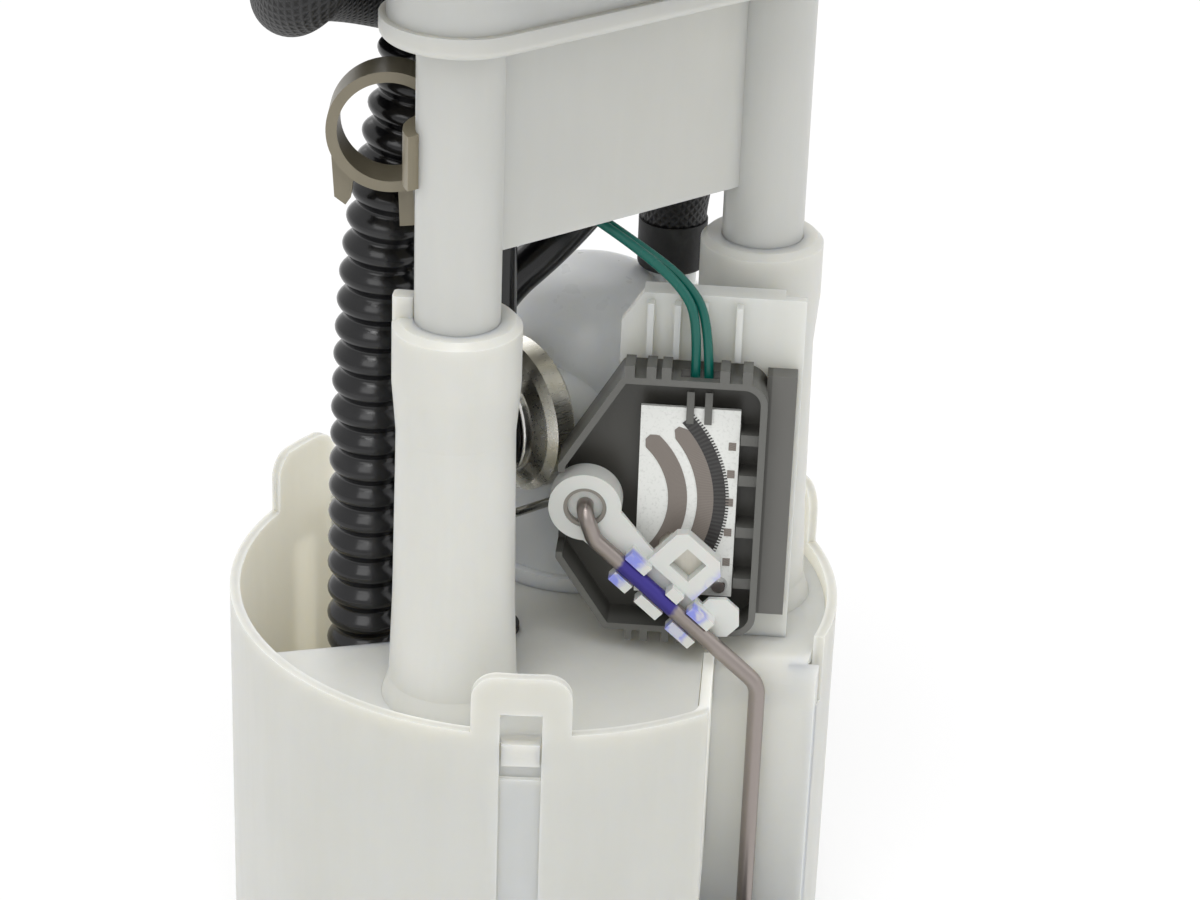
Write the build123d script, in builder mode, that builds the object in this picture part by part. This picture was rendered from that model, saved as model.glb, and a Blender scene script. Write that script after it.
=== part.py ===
from build123d import *
import os
from math import atan2, cos, degrees, hypot, radians, sin, sqrt, tan

# Fuel pump module: a round reservoir with its pump, filter, regulator and level sender,
# and a tank flange that slides up and down on two sprung guide posts.
# Millimetres, +Z up, origin at the centre of the reservoir's base. X runs along the line of the posts.

os.makedirs("parts", exist_ok=True)

# Fits
slide_fit = 0.08          # radial gap of a part that slides or turns
seat_fit = 0.2            # gap of a part that is dropped into its seat

# Reservoir bucket
res_r = 60.0
res_h = 82.0
res_wall = 2.0
res_floor = 2.5
base_round = 2.0
pocket_round = 3.0
pocket_u = 36.8           # side wall of the float arm pocket, above the float
float_pocket_u = 31.8     # the same wall beside the float
float_pocket_h = 36.0
pocket_n = 20.0           # back wall of the pocket
apron_t = 1.6
ear_azimuths = (-129.0, -10.5, 108.0)
ear_w = 18.5
ear_top = 94.0
ear_t = res_wall
ear_round = 5.0
ear_window_w = 7.8
ear_window_bottom = 72.0
ear_window_top = 86.3
hooked_ears = (-129.0, -10.5)
ear_groove_depth = 0.9

# Reservoir deck and its guide sockets
deck_z = 79.0
deck_t = 2.5
deck_curl = 6.0
post_x = 35.5
post_y = -22.0
post_r = 7.75
socket_top = 155.6
socket_collar_r = 11.7
socket_neck_r = 10.9
socket_foot_r = 12.0
socket_floor = 84.0

# Guide frame: two hollow posts, the web between them and the stadium skirt
post_bottom = 96.0
spring_bore_r = 5.6
spring_shoulder = 152.0
web_t = 2.4
web_bottom = socket_top + 11.5
skirt_bottom = socket_top + 53.1
skirt_r = 12.9
skirt_wall = 2.2
skirt_bead = 1.3
skirt_bead_h = 4.0
slide_travel = 11.0

# Tank flange
flange_z = 238.0
flange_r = 66.0
flange_t = 4.5
hub_rise = 3.5
hub_r = 42.0
seal_ring_r = 62.0
seal_section_r = 1.8
locating_ring_r = 59.0

# Springs in the posts
spring_r = 4.6
spring_wire = 1.1
spring_turns = 6

# Pump, standing in its cradle under the filter
pump_x = 20.3
pump_y = 11.0
pump_r = 19.0
pump_wall = 1.2
pump_bottom = 12.0
pump_top = 74.0
shaft_r = 2.0
armature_r = 12.8

# Filter housing over the pump, with its outlet nipple and the regulator seat
filter_r = 20.0
filter_wall = 2.0
filter_foot_r = 21.8
filter_top = 141.0
filter_dome_h = 17.0
nipple_x = 35.0
nipple_y = 4.0
nipple_r = 5.0
nipple_top = 146.0
boot_r = 6.8

# Pressure regulator, its axis along X
regulator_y = 2.7
regulator_z = 118.3
regulator_r = 15.2
regulator_face_x = -7.6
regulator_back_x = 0.2
regulator_ring_r = 11.0
regulator_port_r = 5.0

# Level sender, in its own plane: u to the right, n towards the viewer
sender_azimuth = -42.0
bracket_n = 10.0
bracket_t = 2.0
bracket_left = 16.0
bracket_right = 50.3
bracket_top = 150.4
housing_back = bracket_n + bracket_t
housing_wall = 1.3
housing_lip = 21.0
housing_top = 137.0
housing_bottom = 83.5
housing_right = 44.2
pivot_u = 11.0
pivot_z = 110.0
card_front = 17.2
card_t = 0.8
card_left = 20.6
card_right = 39.3
card_bottom = 90.1
card_top = 129.7
track_t = 0.15

# Float arm
wire_r = 1.6
wire_n = 24.2
hub_face = 22.4
holder_back = 21.4
arm_pitch = -42.0
float_r = 11.0
float_len = 24.0
float_z = 11.6
float_u = 45.4

# Hoses and leads
corrugated_r = 7.6
braid_r = 6.5
tube_r = 4.0
sleeve_r = 3.8
lead_r = 0.9

# Directions of the sender: u lies along its face, n points out of it
angle = radians(sender_azimuth)
u_dir = Vector(cos(angle), sin(angle), 0)
n_dir = Vector(sin(angle), -cos(angle), 0)
sender_face = Plane(origin=(0, 0, 0), x_dir=u_dir, z_dir=n_dir)
sender_plan = Plane(origin=(0, 0, 0), x_dir=u_dir, z_dir=(0, 0, 1))


def sender_point(u, n, z):
    return u_dir * u + n_dir * n + Vector(0, 0, z)


def radial_plane(azimuth, distance=0.0):
    """A vertical plane square to the radius at this azimuth, its Y axis up."""
    a = radians(azimuth)
    outward = Vector(cos(a), sin(a), 0)
    return Plane(origin=outward * distance, x_dir=(-sin(a), cos(a), 0), z_dir=outward)


def upright_section(x, y):
    """The XZ plane through an upright axis, for profiles that are turned about it."""
    return Plane(origin=(x, y, 0), x_dir=(1, 0, 0), z_dir=(0, -1, 0))


def upright_axis(x, y):
    return Axis((x, y, 0), (0, 0, 1))


def reservoir_outline(inset, wall_u, wall_n, height):
    """The reservoir's plan: a circle with the pocket of the float arm cut out of its front right."""
    with BuildSketch(sender_plan.offset(height)) as outline:
        Circle(res_r - inset)
        with Locations((wall_u, -wall_n)):
            Rectangle(2 * res_r, 2 * res_r, align=(Align.MIN, Align.MAX), mode=Mode.SUBTRACT)
        corners = [v for v in outline.vertices() if v.Y < -1 and 1 < v.X < 45 and hypot(v.X, v.Y) > 50]
        fillet(corners, pocket_round)
    return outline.sketch


def bend_radii(points, share=0.45):
    """For each corner of a route, a radius of 0.45 of its shorter run over the tangent of half the turn."""
    radii = []
    for before, here, after in zip(points, points[1:], points[2:]):
        run_in = Vector(*here) - Vector(*before)
        run_out = Vector(*after) - Vector(*here)
        turn = run_in.get_angle(run_out)
        shorter = min(run_in.length, run_out.length)
        radii.append(share * shorter / tan(radians(turn / 2)))
    return radii


def hose(points, radius, label, bore=0.0):
    """A hose or lead along its route: straight runs joined by tangent arcs."""
    radii = bend_radii(points)
    print(label, "bend radii", [round(r, 1) for r in radii])
    with BuildPart() as tube:
        with BuildLine() as route:
            FilletPolyline(*points, radius=radii)
        with BuildSketch(route.line ^ 0):
            Circle(radius)
            if bore:
                Circle(bore, mode=Mode.SUBTRACT)
        sweep(path=route.line)
    tube.part.label = label
    export_step(tube.part, "parts/" + label + ".step")
    section = 3.14159 * (radius**2 - bore**2)
    print(label, "volume", round(tube.part.volume), "section x length", round(section * sum(e.length for e in route.line.edges())))
    return tube.part


def save(piece, label):
    piece.part.label = label
    export_step(piece.part, "parts/" + label + ".step")


# Snap ears: tall rounded tongues of the reservoir wall, each with a window for a hook of the deck
with BuildPart() as ears:
    for azimuth in ear_azimuths:
        with BuildSketch(radial_plane(azimuth, res_r - 8)):
            with Locations((0, (ear_top + res_h) / 2 - 10)):
                RectangleRounded(ear_w, ear_top - res_h + 20, ear_round)
        extrude(amount=10)
    with BuildSketch(Plane.XY):
        Circle(res_r)
        Circle(res_r - ear_t, mode=Mode.SUBTRACT)
    extrude(amount=ear_top + 1, mode=Mode.INTERSECT)

# Reservoir bucket
with BuildPart() as reservoir_bucket:
    bucket_n = pocket_n - apron_t
    extrude(reservoir_outline(0, float_pocket_u, bucket_n, 0), amount=float_pocket_h)
    extrude(reservoir_outline(0, pocket_u, bucket_n, float_pocket_h), amount=res_h - float_pocket_h)
    base_edges = [e for e in reservoir_bucket.edges().group_by(Axis.Z)[0] if e.length > 30]
    fillet(base_edges, base_round)
    shelf = float_pocket_h + res_wall
    lower = reservoir_outline(res_wall, float_pocket_u - res_wall, bucket_n - res_wall, res_floor)
    extrude(lower, amount=shelf - res_floor, mode=Mode.SUBTRACT)
    upper = reservoir_outline(res_wall, pocket_u - res_wall, bucket_n - res_wall, shelf)
    extrude(upper, amount=res_h, mode=Mode.SUBTRACT)
    # the deck's curl closes the top of the pocket, so the bucket's own wall stops lower there
    with BuildSketch(sender_plan.offset(68)):
        with Locations((pocket_u - res_wall - 0.2, -pocket_n)):
            Rectangle(24, apron_t + res_wall + 0.2, align=(Align.MIN, Align.MIN))
    extrude(amount=res_h, mode=Mode.SUBTRACT)
    with BuildSketch(sender_plan.offset(deck_z)):
        with Locations((pocket_u - res_wall - 1, -45)):
            Rectangle(res_wall + 2, 45 - pocket_n + 4, align=(Align.MIN, Align.MIN))
    extrude(amount=res_h, mode=Mode.SUBTRACT)
    add(ears.part)
    for azimuth in ear_azimuths:
        with BuildSketch(radial_plane(azimuth, res_r - ear_groove_depth)):
            with Locations((0, 4)):
                Rectangle(ear_window_w, ear_window_bottom - 4, align=(Align.CENTER, Align.MIN))
        extrude(amount=3, mode=Mode.SUBTRACT)
    for azimuth in hooked_ears:
        with BuildSketch(radial_plane(azimuth, res_r - 6)):
            with Locations((0, ear_window_bottom)):
                Rectangle(ear_window_w, ear_window_top - ear_window_bottom, align=(Align.CENTER, Align.MIN))
        extrude(amount=8, mode=Mode.SUBTRACT)
    # seat of the floor valve
    with Locations((-20, -26, res_floor)):
        Hole(2.2, depth=res_floor + 1)
save(reservoir_bucket, "reservoir_bucket")

# Guide socket: a collar at the mouth, a slightly waisted tube and a flared foot
socket_profile = [
    (0, deck_z - 0.5),
    (socket_foot_r + 1.5, deck_z - 0.5),
    (socket_foot_r, deck_z + 4),
    (socket_neck_r + 0.5, deck_z + 20),
    (socket_neck_r, socket_top - 22),
    (socket_collar_r, socket_top - 12),
    (socket_collar_r, socket_top - 1.2),
    (socket_collar_r - 1.2, socket_top),
    (0, socket_top),
]
with BuildPart() as sockets:
    for side in (-1, 1):
        with BuildSketch(upright_section(side * post_x, post_y)):
            with BuildLine():
                Polyline(*socket_profile, close=True)
            make_face()
        revolve(axis=upright_axis(side * post_x, post_y))
    # key lug that stops the left post from turning
    lug_a = radians(135)
    with BuildSketch(Plane.XY.offset(socket_top - 10)):
        with Locations((-post_x + 9.6 * cos(lug_a), post_y + 9.6 * sin(lug_a))):
            RectangleRounded(4.0, 3.4, 0.8, rotation=135)
    extrude(amount=14)


def apron_outline(left_u, height):
    """The plan of the strip that lines the pocket's back wall, out to the reservoir's own circle."""
    with BuildSketch(sender_plan.offset(height)) as outline:
        Circle(res_r)
        with Locations((left_u, -pocket_n)):
            Rectangle(res_r, apron_t - 0.05, align=(Align.MIN, Align.MIN), mode=Mode.INTERSECT)
    return outline.sketch


# Reservoir deck, with both sockets moulded on
with BuildPart() as reservoir_deck:
    deck_r_gap = res_wall + seat_fit
    wall_u = pocket_u - res_wall - seat_fit
    extrude(reservoir_outline(deck_r_gap, wall_u, pocket_n, deck_z - deck_t), amount=deck_t)
    # stiffening skirt inside the bucket
    with BuildSketch(Plane.XY.offset(deck_z - deck_t - 6)):
        Circle(res_r - deck_r_gap)
        Circle(res_r - deck_r_gap - 1.6, mode=Mode.SUBTRACT)
    extrude(amount=6)
    with BuildSketch(sender_plan.offset(deck_z - deck_t - 7)):
        with Locations((30, -14)):
            Rectangle(60, 60, align=(Align.MIN, Align.MAX))
    extrude(amount=7, mode=Mode.SUBTRACT)
    # solid corner under the curl, and the apron that faces the pocket
    apron_right = sqrt(res_r**2 - pocket_n**2) - 1.4
    with BuildSketch(sender_plan.offset(70)):
        with Locations((pocket_u + 0.1, -pocket_n)):
            Rectangle(apron_right - pocket_u - 4, 7, align=(Align.MIN, Align.MIN))
    extrude(amount=deck_z - 70)
    extrude(apron_outline(pocket_u + 0.1, float_pocket_h), amount=deck_z - float_pocket_h)
    extrude(apron_outline(float_pocket_u + 0.1, 3), amount=float_pocket_h - 3)
    # the deck runs into the apron over a large round
    with BuildSketch(Plane(origin=u_dir * 60, x_dir=n_dir, z_dir=-u_dir)):
        with Locations((pocket_n - deck_curl, deck_z - deck_curl)):
            Rectangle(deck_curl + 1, deck_curl + 1, align=(Align.MIN, Align.MIN))
            Circle(deck_curl, mode=Mode.SUBTRACT)
    extrude(amount=60 - pocket_u + 1, mode=Mode.SUBTRACT)
    add(sockets.part)
    for side in (-1, 1):
        with Locations((side * post_x, post_y, socket_floor)):
            Cylinder(post_r + slide_fit, 100, align=(Align.CENTER, Align.CENTER, Align.MIN),
                     mode=Mode.SUBTRACT)
    # open rear left quarter, where the corrugated hose goes down
    with BuildSketch(Plane.XY.offset(deck_z - deck_t - 7)):
        with BuildLine():
            Polyline((-62, 11.4), (-24, -5.4), (-20, 0), (-20, 34), (-13, 46), (-9, 64), (-64, 64), close=True)
        make_face()
    extrude(amount=deck_t + 8, mode=Mode.SUBTRACT)
    # throat over the pump
    with Locations((pump_x, pump_y, deck_z - deck_t - 1)):
        Cylinder(12, 5, align=(Align.CENTER, Align.CENTER, Align.MIN), mode=Mode.SUBTRACT)
    for x, y, r in ((-16.0, 4.5, tube_r), (-15.5, -7.0, sleeve_r)):
        with Locations((x, y, deck_z - deck_t - 1)):
            Cylinder(r + 1.6, 5, align=(Align.CENTER, Align.CENTER, Align.MIN), mode=Mode.SUBTRACT)
    # hooks that snap into the ear windows
    for azimuth in hooked_ears:
        with BuildSketch(radial_plane(azimuth, res_r - res_wall - 3)):
            with Locations((0, deck_z - 4)):
                Rectangle(ear_window_w - 0.6, 4.5, align=(Align.CENTER, Align.MIN))
        extrude(amount=res_wall + 2.2)
save(reservoir_deck, "reservoir_deck")

# Grommets of the two tubes that pass through the deck
with BuildPart() as deck_grommets:
    for x, y, r in ((-16.0, 4.5, tube_r), (-15.5, -7.0, sleeve_r)):
        with BuildSketch(Plane.XY.offset(deck_z - deck_t)):
            with Locations((x, y)):
                Circle(r + 1.6)
                Circle(r, mode=Mode.SUBTRACT)
        extrude(amount=deck_t)
        with BuildSketch(Plane.XY.offset(deck_z)):
            with Locations((x, y)):
                Circle(r + 1.6)
                Circle(r, mode=Mode.SUBTRACT)
        extrude(amount=1.2)
save(deck_grommets, "deck_grommets")

# Guide frame
with BuildPart() as guide_frame:
    for side in (-1, 1):
        with BuildSketch(Plane.XY.offset(post_bottom)):
            with Locations((side * post_x, post_y)):
                Circle(post_r)
        extrude(amount=skirt_bottom - post_bottom)
    with BuildSketch(Plane.XY.offset(web_bottom)):
        with Locations((0, post_y)):
            Rectangle(2 * post_x, web_t)
    extrude(amount=skirt_bottom - web_bottom)
    with BuildSketch(Plane.XY.offset(skirt_bottom)):
        with Locations((0, post_y)):
            SlotCenterToCenter(2 * post_x, 2 * (skirt_r + skirt_bead))
    extrude(amount=skirt_bead_h)
    bead_edges = guide_frame.edges().filter_by(lambda e: abs(e.center().Z - skirt_bottom) < 0.01
                                               and e.length > 35)
    fillet(bead_edges, 1.6)
    with BuildSketch(Plane.XY.offset(skirt_bottom)):
        with Locations((0, post_y)):
            SlotCenterToCenter(2 * post_x, 2 * skirt_r)
    extrude(amount=flange_z - skirt_bottom)
    with BuildSketch(Plane.XY.offset(skirt_bottom + 2.5)):
        with Locations((0, post_y)):
            SlotCenterToCenter(2 * post_x, 2 * (skirt_r - skirt_wall))
    extrude(amount=flange_z, mode=Mode.SUBTRACT)
    for side in (-1, 1):
        with BuildSketch(Plane.XY.offset(skirt_bottom)):
            with Locations((side * post_x, post_y)):
                Circle(post_r)
        extrude(amount=flange_z - skirt_bottom - 8)
        with Locations((side * post_x, post_y, post_bottom)):
            Cylinder(spring_bore_r, spring_shoulder - post_bottom,
                     align=(Align.CENTER, Align.CENTER, Align.MIN), mode=Mode.SUBTRACT)
save(guide_frame, "guide_frame")

# Compression springs, from the socket's floor to the shoulder in the post
for side, name in ((-1, "guide_spring_left"), (1, "guide_spring_right")):
    half_wire = spring_wire * 0.8
    spring_h = spring_shoulder - socket_floor - 2 * half_wire
    with BuildPart() as spring:
        with BuildLine() as coil:
            Helix(pitch=spring_h / spring_turns, height=spring_h, radius=spring_r,
                  center=(side * post_x, post_y, socket_floor + half_wire))
        with BuildSketch(Plane(origin=coil.line @ 0, z_dir=coil.line % 0)):
            Rectangle(2 * half_wire, 2 * half_wire)
        sweep(path=coil.line, is_frenet=True)
    save(spring, name)

# Tank flange cover
shroud_x = -12.0
shroud_y = 24.0
shroud_l = 30.0
shroud_w = 17.0
shroud_h = 17.0
cover_top = flange_z + flange_t + hub_rise
braid_end = (-50.0, -8.0)
corrugated_end = (-23.5, 4.0)
vent_end = (14.0, 4.0)
sleeve_end = (-12.0, 3.0)
with BuildPart() as flange_cover:
    with BuildSketch(Plane.XY.offset(flange_z)):
        Circle(flange_r)
    extrude(amount=flange_t)
    with BuildSketch(Plane.XY.offset(flange_z + flange_t)):
        Circle(hub_r)
    extrude(amount=hub_rise)
    rim = flange_cover.edges().filter_by(GeomType.CIRCLE).filter_by(lambda e: e.center().Z > flange_z + 1)
    fillet(rim, 1.0)
    # locating ring under the seal
    with BuildSketch(Plane.XY.offset(flange_z - 6)):
        Circle(locating_ring_r)
        Circle(locating_ring_r - 2.0, mode=Mode.SUBTRACT)
    extrude(amount=6)
    with Locations((braid_end[0], braid_end[1], flange_z - 7)):
        Cylinder(braid_r + 1.2, 7, align=(Align.CENTER, Align.CENTER, Align.MIN), mode=Mode.SUBTRACT)
    # radial ribs on the top
    with BuildSketch(Plane.XY.offset(flange_z + flange_t)):
        with PolarLocations((hub_r + flange_r - 4) / 2, 12, start_angle=24):
            Rectangle(flange_r - hub_r - 5, 2.0)
    extrude(amount=2.4)
    # connector shroud
    with BuildSketch(Plane.XY.offset(cover_top)):
        with Locations((shroud_x, shroud_y)):
            RectangleRounded(shroud_l, shroud_w, 3.5)
    extrude(amount=shroud_h)
    with BuildSketch(Plane.XY.offset(cover_top + 1.5)):
        with Locations((shroud_x, shroud_y)):
            RectangleRounded(shroud_l - 3.4, shroud_w - 3.4, 2.2)
    extrude(amount=shroud_h, mode=Mode.SUBTRACT)
    with BuildSketch(Plane.XY.offset(cover_top)):
        with Locations((shroud_x, shroud_y - shroud_w / 2 - 1.2)):
            Rectangle(6, 2.6)
    extrude(amount=shroud_h - 4)
    # orientation tab on the rim
    with BuildSketch(Plane.XY.offset(flange_z)):
        with Locations((0, flange_r - 0.5)):
            RectangleRounded(10, 6, 1.5)
    extrude(amount=flange_t)
    # nipples under the flange, one for each hose
    for (x, y), r in ((braid_end, 4.2), (corrugated_end, 5.0), (vent_end, 2.6)):
        with BuildSketch(Plane.XY.offset(flange_z - 5)):
            with Locations((x, y)):
                Circle(r)
        extrude(amount=5)
        with Locations((x, y, flange_z - 6)):
            Cylinder(r * 0.6, flange_t + hub_rise + 8, align=(Align.CENTER, Align.CENTER, Align.MIN),
                     mode=Mode.SUBTRACT)
    # slots of the terminals
    for i in range(4):
        with Locations((shroud_x - 9 + 6 * i, shroud_y, flange_z - 1)):
            Box(2.8, 0.8, 20, align=(Align.CENTER, Align.CENTER, Align.MIN), mode=Mode.SUBTRACT)
save(flange_cover, "flange_cover")

with BuildPart() as flange_terminals:
    for i in range(4):
        with Locations((shroud_x - 9 + 6 * i, shroud_y, flange_z - 4)):
            Box(2.8, 0.8, cover_top - flange_z + 16, align=(Align.CENTER, Align.CENTER, Align.MIN))
save(flange_terminals, "flange_terminals")

# Seal ring under the rim of the flange
with BuildPart() as flange_seal:
    with BuildSketch(Plane.XZ):
        with Locations((seal_ring_r, flange_z - seal_section_r)):
            Circle(seal_section_r)
    revolve(axis=Axis.Z)
save(flange_seal, "flange_seal")


def fitting(x, y, azimuth, stem_r, pipe_r, reach, name):
    """An elbow fitting: a stem on the flange and a pipe with a retaining bead."""
    a = radians(azimuth)
    out = Vector(cos(a), sin(a), 0)
    pipe_z = flange_z + flange_t + stem_r + 7
    stem_base = cover_top if hypot(x, y) < hub_r - stem_r - 2.2 else flange_z + flange_t
    with BuildPart() as elbow:
        with BuildSketch(Plane.XY.offset(stem_base)):
            with Locations((x, y)):
                Circle(stem_r + 2.2)
        extrude(amount=2)
        with BuildSketch(Plane.XY.offset(stem_base)):
            with Locations((x, y)):
                Circle(stem_r)
        extrude(amount=pipe_z - stem_base + stem_r * 0.8)
        pipe_plane = Plane(origin=(x, y, pipe_z), z_dir=out)
        with BuildSketch(pipe_plane):
            Circle(pipe_r)
        extrude(amount=reach)
        with BuildSketch(pipe_plane.offset(reach - 9)):
            Circle(pipe_r + 1.3)
        extrude(amount=2.2)
        with BuildSketch(pipe_plane.offset(1)):
            Circle(pipe_r * 0.62)
        extrude(amount=reach, mode=Mode.SUBTRACT)
    save(elbow, name)


fitting(braid_end[0], braid_end[1], -150, 6.0, 4.0, 30, "outlet_fitting")
fitting(corrugated_end[0], corrugated_end[1] - 16, -60, 5.5, 4.0, 34, "return_fitting")
fitting(vent_end[0] + 14, vent_end[1] + 4, 20, 4.5, 2.8, 26, "vent_fitting")

# Plug under the flange that the leads come out of
plug_z = flange_z - 9
with BuildPart() as harness_plug:
    with BuildSketch(Plane.XY.offset(plug_z)):
        with Locations((shroud_x + 4, shroud_y - 11)):
            RectangleRounded(24, 38, 3)
        with Locations(corrugated_end):
            Circle(corrugated_r + 1.5, mode=Mode.SUBTRACT)
        with Locations(vent_end):
            Circle(tube_r + 1.2, mode=Mode.SUBTRACT)
    extrude(amount=flange_z - plug_z)
    for i in range(4):
        with Locations((shroud_x - 9 + 6 * i, shroud_y, flange_z - 4)):
            Box(2.8, 0.8, 6, align=(Align.CENTER, Align.CENTER, Align.MIN), mode=Mode.SUBTRACT)
save(harness_plug, "harness_plug")

# Hose clip: an open ring on a saddle behind the left post
clip_centre = Vector(-36.9, -3.0, 186.5)
clip_r = 11.3
clip_wall = 2.0
clip_depth = 8.0
clip_plane = Plane(origin=clip_centre, x_dir=(0.7822, -0.623, 0), z_dir=(-0.623, -0.7822, 0))
with BuildPart() as hose_clip:
    with BuildSketch(clip_plane.offset(-clip_depth / 2)):
        Circle(clip_r)
        Circle(clip_r - clip_wall, mode=Mode.SUBTRACT)
    extrude(amount=clip_depth)
    # prong and tab that hang from the ring
    with BuildSketch(clip_plane.offset(-clip_depth / 2)):
        with BuildLine():
            Polyline((-11.2, 1), (-10.2, -14.5), (-8.2, -16), (-7.2, -14.5), (-6.6, -9.6), (-8.6, -4), close=True)
        make_face()
        with BuildLine():
            Polyline((1.2, -10.8), (3.8, -10.8), (4.4, -19.5), (1.6, -19.8), close=True)
        make_face()
    extrude(amount=3.2)
    # stem and saddle against the post
    with BuildSketch(Plane.XY.offset(clip_centre.Z - 5)):
        with Locations((-post_x, post_y)):
            Circle(post_r + 2.2)
            Circle(post_r, mode=Mode.SUBTRACT)
        with Locations((-post_x, post_y - 8.4)):
            Rectangle(30, 20, mode=Mode.SUBTRACT)
    extrude(amount=10)
    stem_a = 63.9
    with BuildSketch(Plane.XY.offset(clip_centre.Z - 3)):
        with Locations((-post_x + 10.6 * cos(radians(stem_a)), post_y + 10.6 * sin(radians(stem_a)))):
            Rectangle(4.4, 3.4, rotation=stem_a)
    extrude(amount=6)
    with BuildSketch(clip_plane.offset(-clip_depth / 2 - 1)):
        Circle(clip_r - clip_wall)
    extrude(amount=clip_depth + 1.4, mode=Mode.SUBTRACT)
save(hose_clip, "hose_clip")

# Pump: can, end caps, plates, magnets, brushes and bearings
pump_axis = upright_axis(pump_x, pump_y)
with BuildPart() as pump_can:
    with BuildSketch(Plane.XY.offset(pump_bottom)):
        with Locations((pump_x, pump_y)):
            Circle(pump_r)
            Circle(pump_r - pump_wall, mode=Mode.SUBTRACT)
    extrude(amount=pump_top - pump_bottom)
save(pump_can, "pump_can")

pump_bore = pump_r - pump_wall
with BuildPart() as pump_inlet_cap:
    with BuildSketch(Plane.XY.offset(pump_bottom)):
        with Locations((pump_x, pump_y)):
            Circle(pump_bore)
            Circle(shaft_r + slide_fit, mode=Mode.SUBTRACT)
    extrude(amount=4)
    with BuildSketch(Plane.XY.offset(pump_bottom - 4)):
        with Locations((pump_x + 8, pump_y)):
            Circle(5.5)
    extrude(amount=4)
    with Locations((pump_x + 8, pump_y, pump_bottom - 5)):
        Cylinder(3.6, 10, align=(Align.CENTER, Align.CENTER, Align.MIN), mode=Mode.SUBTRACT)
save(pump_inlet_cap, "pump_inlet_cap")

impeller_gap = 0.25
impeller_h = 3.0
chamber_z = pump_bottom + 4
with BuildPart() as pump_impeller:
    with BuildSketch(Plane.XY.offset(chamber_z + impeller_gap)):
        with Locations((pump_x, pump_y)):
            Circle(15.0)
            Circle(shaft_r, mode=Mode.SUBTRACT)
            with PolarLocations(14.2, 20):
                Rectangle(2.4, 1.6, mode=Mode.SUBTRACT)
    extrude(amount=impeller_h)
save(pump_impeller, "pump_impeller")

plate_z = chamber_z + impeller_h + 2 * impeller_gap
with BuildPart() as pump_chamber:
    with BuildSketch(Plane.XY.offset(chamber_z)):
        with Locations((pump_x, pump_y)):
            Circle(pump_bore)
            Circle(15.4, mode=Mode.SUBTRACT)
    extrude(amount=plate_z - chamber_z)
    with BuildSketch(Plane.XY.offset(plate_z)):
        with Locations((pump_x, pump_y)):
            Circle(pump_bore)
            Circle(4.5, mode=Mode.SUBTRACT)
        with Locations((pump_x - 11, pump_y)):
            Circle(2.5, mode=Mode.SUBTRACT)
    extrude(amount=3)
save(pump_chamber, "pump_chamber")

magnet_z = plate_z + 4
magnet_h = 34.0
with BuildPart() as pump_magnets:
    with BuildSketch(Plane.XY.offset(magnet_z)):
        with Locations((pump_x, pump_y)):
            Circle(pump_bore)
            Circle(armature_r + 0.6, mode=Mode.SUBTRACT)
            Rectangle(7, 50, mode=Mode.SUBTRACT)
    extrude(amount=magnet_h)
save(pump_magnets, "pump_magnets")

with BuildPart() as pump_armature:
    with BuildSketch(Plane.XY.offset(magnet_z + 2)):
        with Locations((pump_x, pump_y)):
            Circle(armature_r)
            Circle(shaft_r, mode=Mode.SUBTRACT)
            with PolarLocations(armature_r - 3, 8):
                Rectangle(7, 1.8, mode=Mode.SUBTRACT)
    extrude(amount=magnet_h - 4)
save(pump_armature, "pump_armature")

commutator_z = magnet_z + magnet_h - 1
with BuildPart() as pump_commutator:
    with BuildSketch(Plane.XY.offset(commutator_z)):
        with Locations((pump_x, pump_y)):
            Circle(6)
            Circle(shaft_r, mode=Mode.SUBTRACT)
    extrude(amount=7)
save(pump_commutator, "pump_commutator")

shaft_top = commutator_z + 11
with BuildPart() as pump_shaft:
    with BuildSketch(Plane.XY.offset(pump_bottom + 0.3)):
        with Locations((pump_x, pump_y)):
            Circle(shaft_r)
    extrude(amount=shaft_top - pump_bottom - 0.3)
save(pump_shaft, "pump_shaft")

with BuildPart() as pump_bearings:
    for z, height, outer in ((plate_z, 3, 4.5), (shaft_top - 3, 3, 4.5)):
        with BuildSketch(Plane.XY.offset(z)):
            with Locations((pump_x, pump_y)):
                Circle(outer)
                Circle(shaft_r + slide_fit, mode=Mode.SUBTRACT)
        extrude(amount=height)
save(pump_bearings, "pump_bearings")

brush_z = commutator_z + 2
with BuildPart() as pump_brushes:
    for side in (-1, 1):
        with BuildSketch(Plane.XY.offset(brush_z)):
            with Locations((pump_x + side * (6.1 + 3), pump_y)):
                Rectangle(6, 3.6)
    extrude(amount=4)
save(pump_brushes, "pump_brushes")

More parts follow.
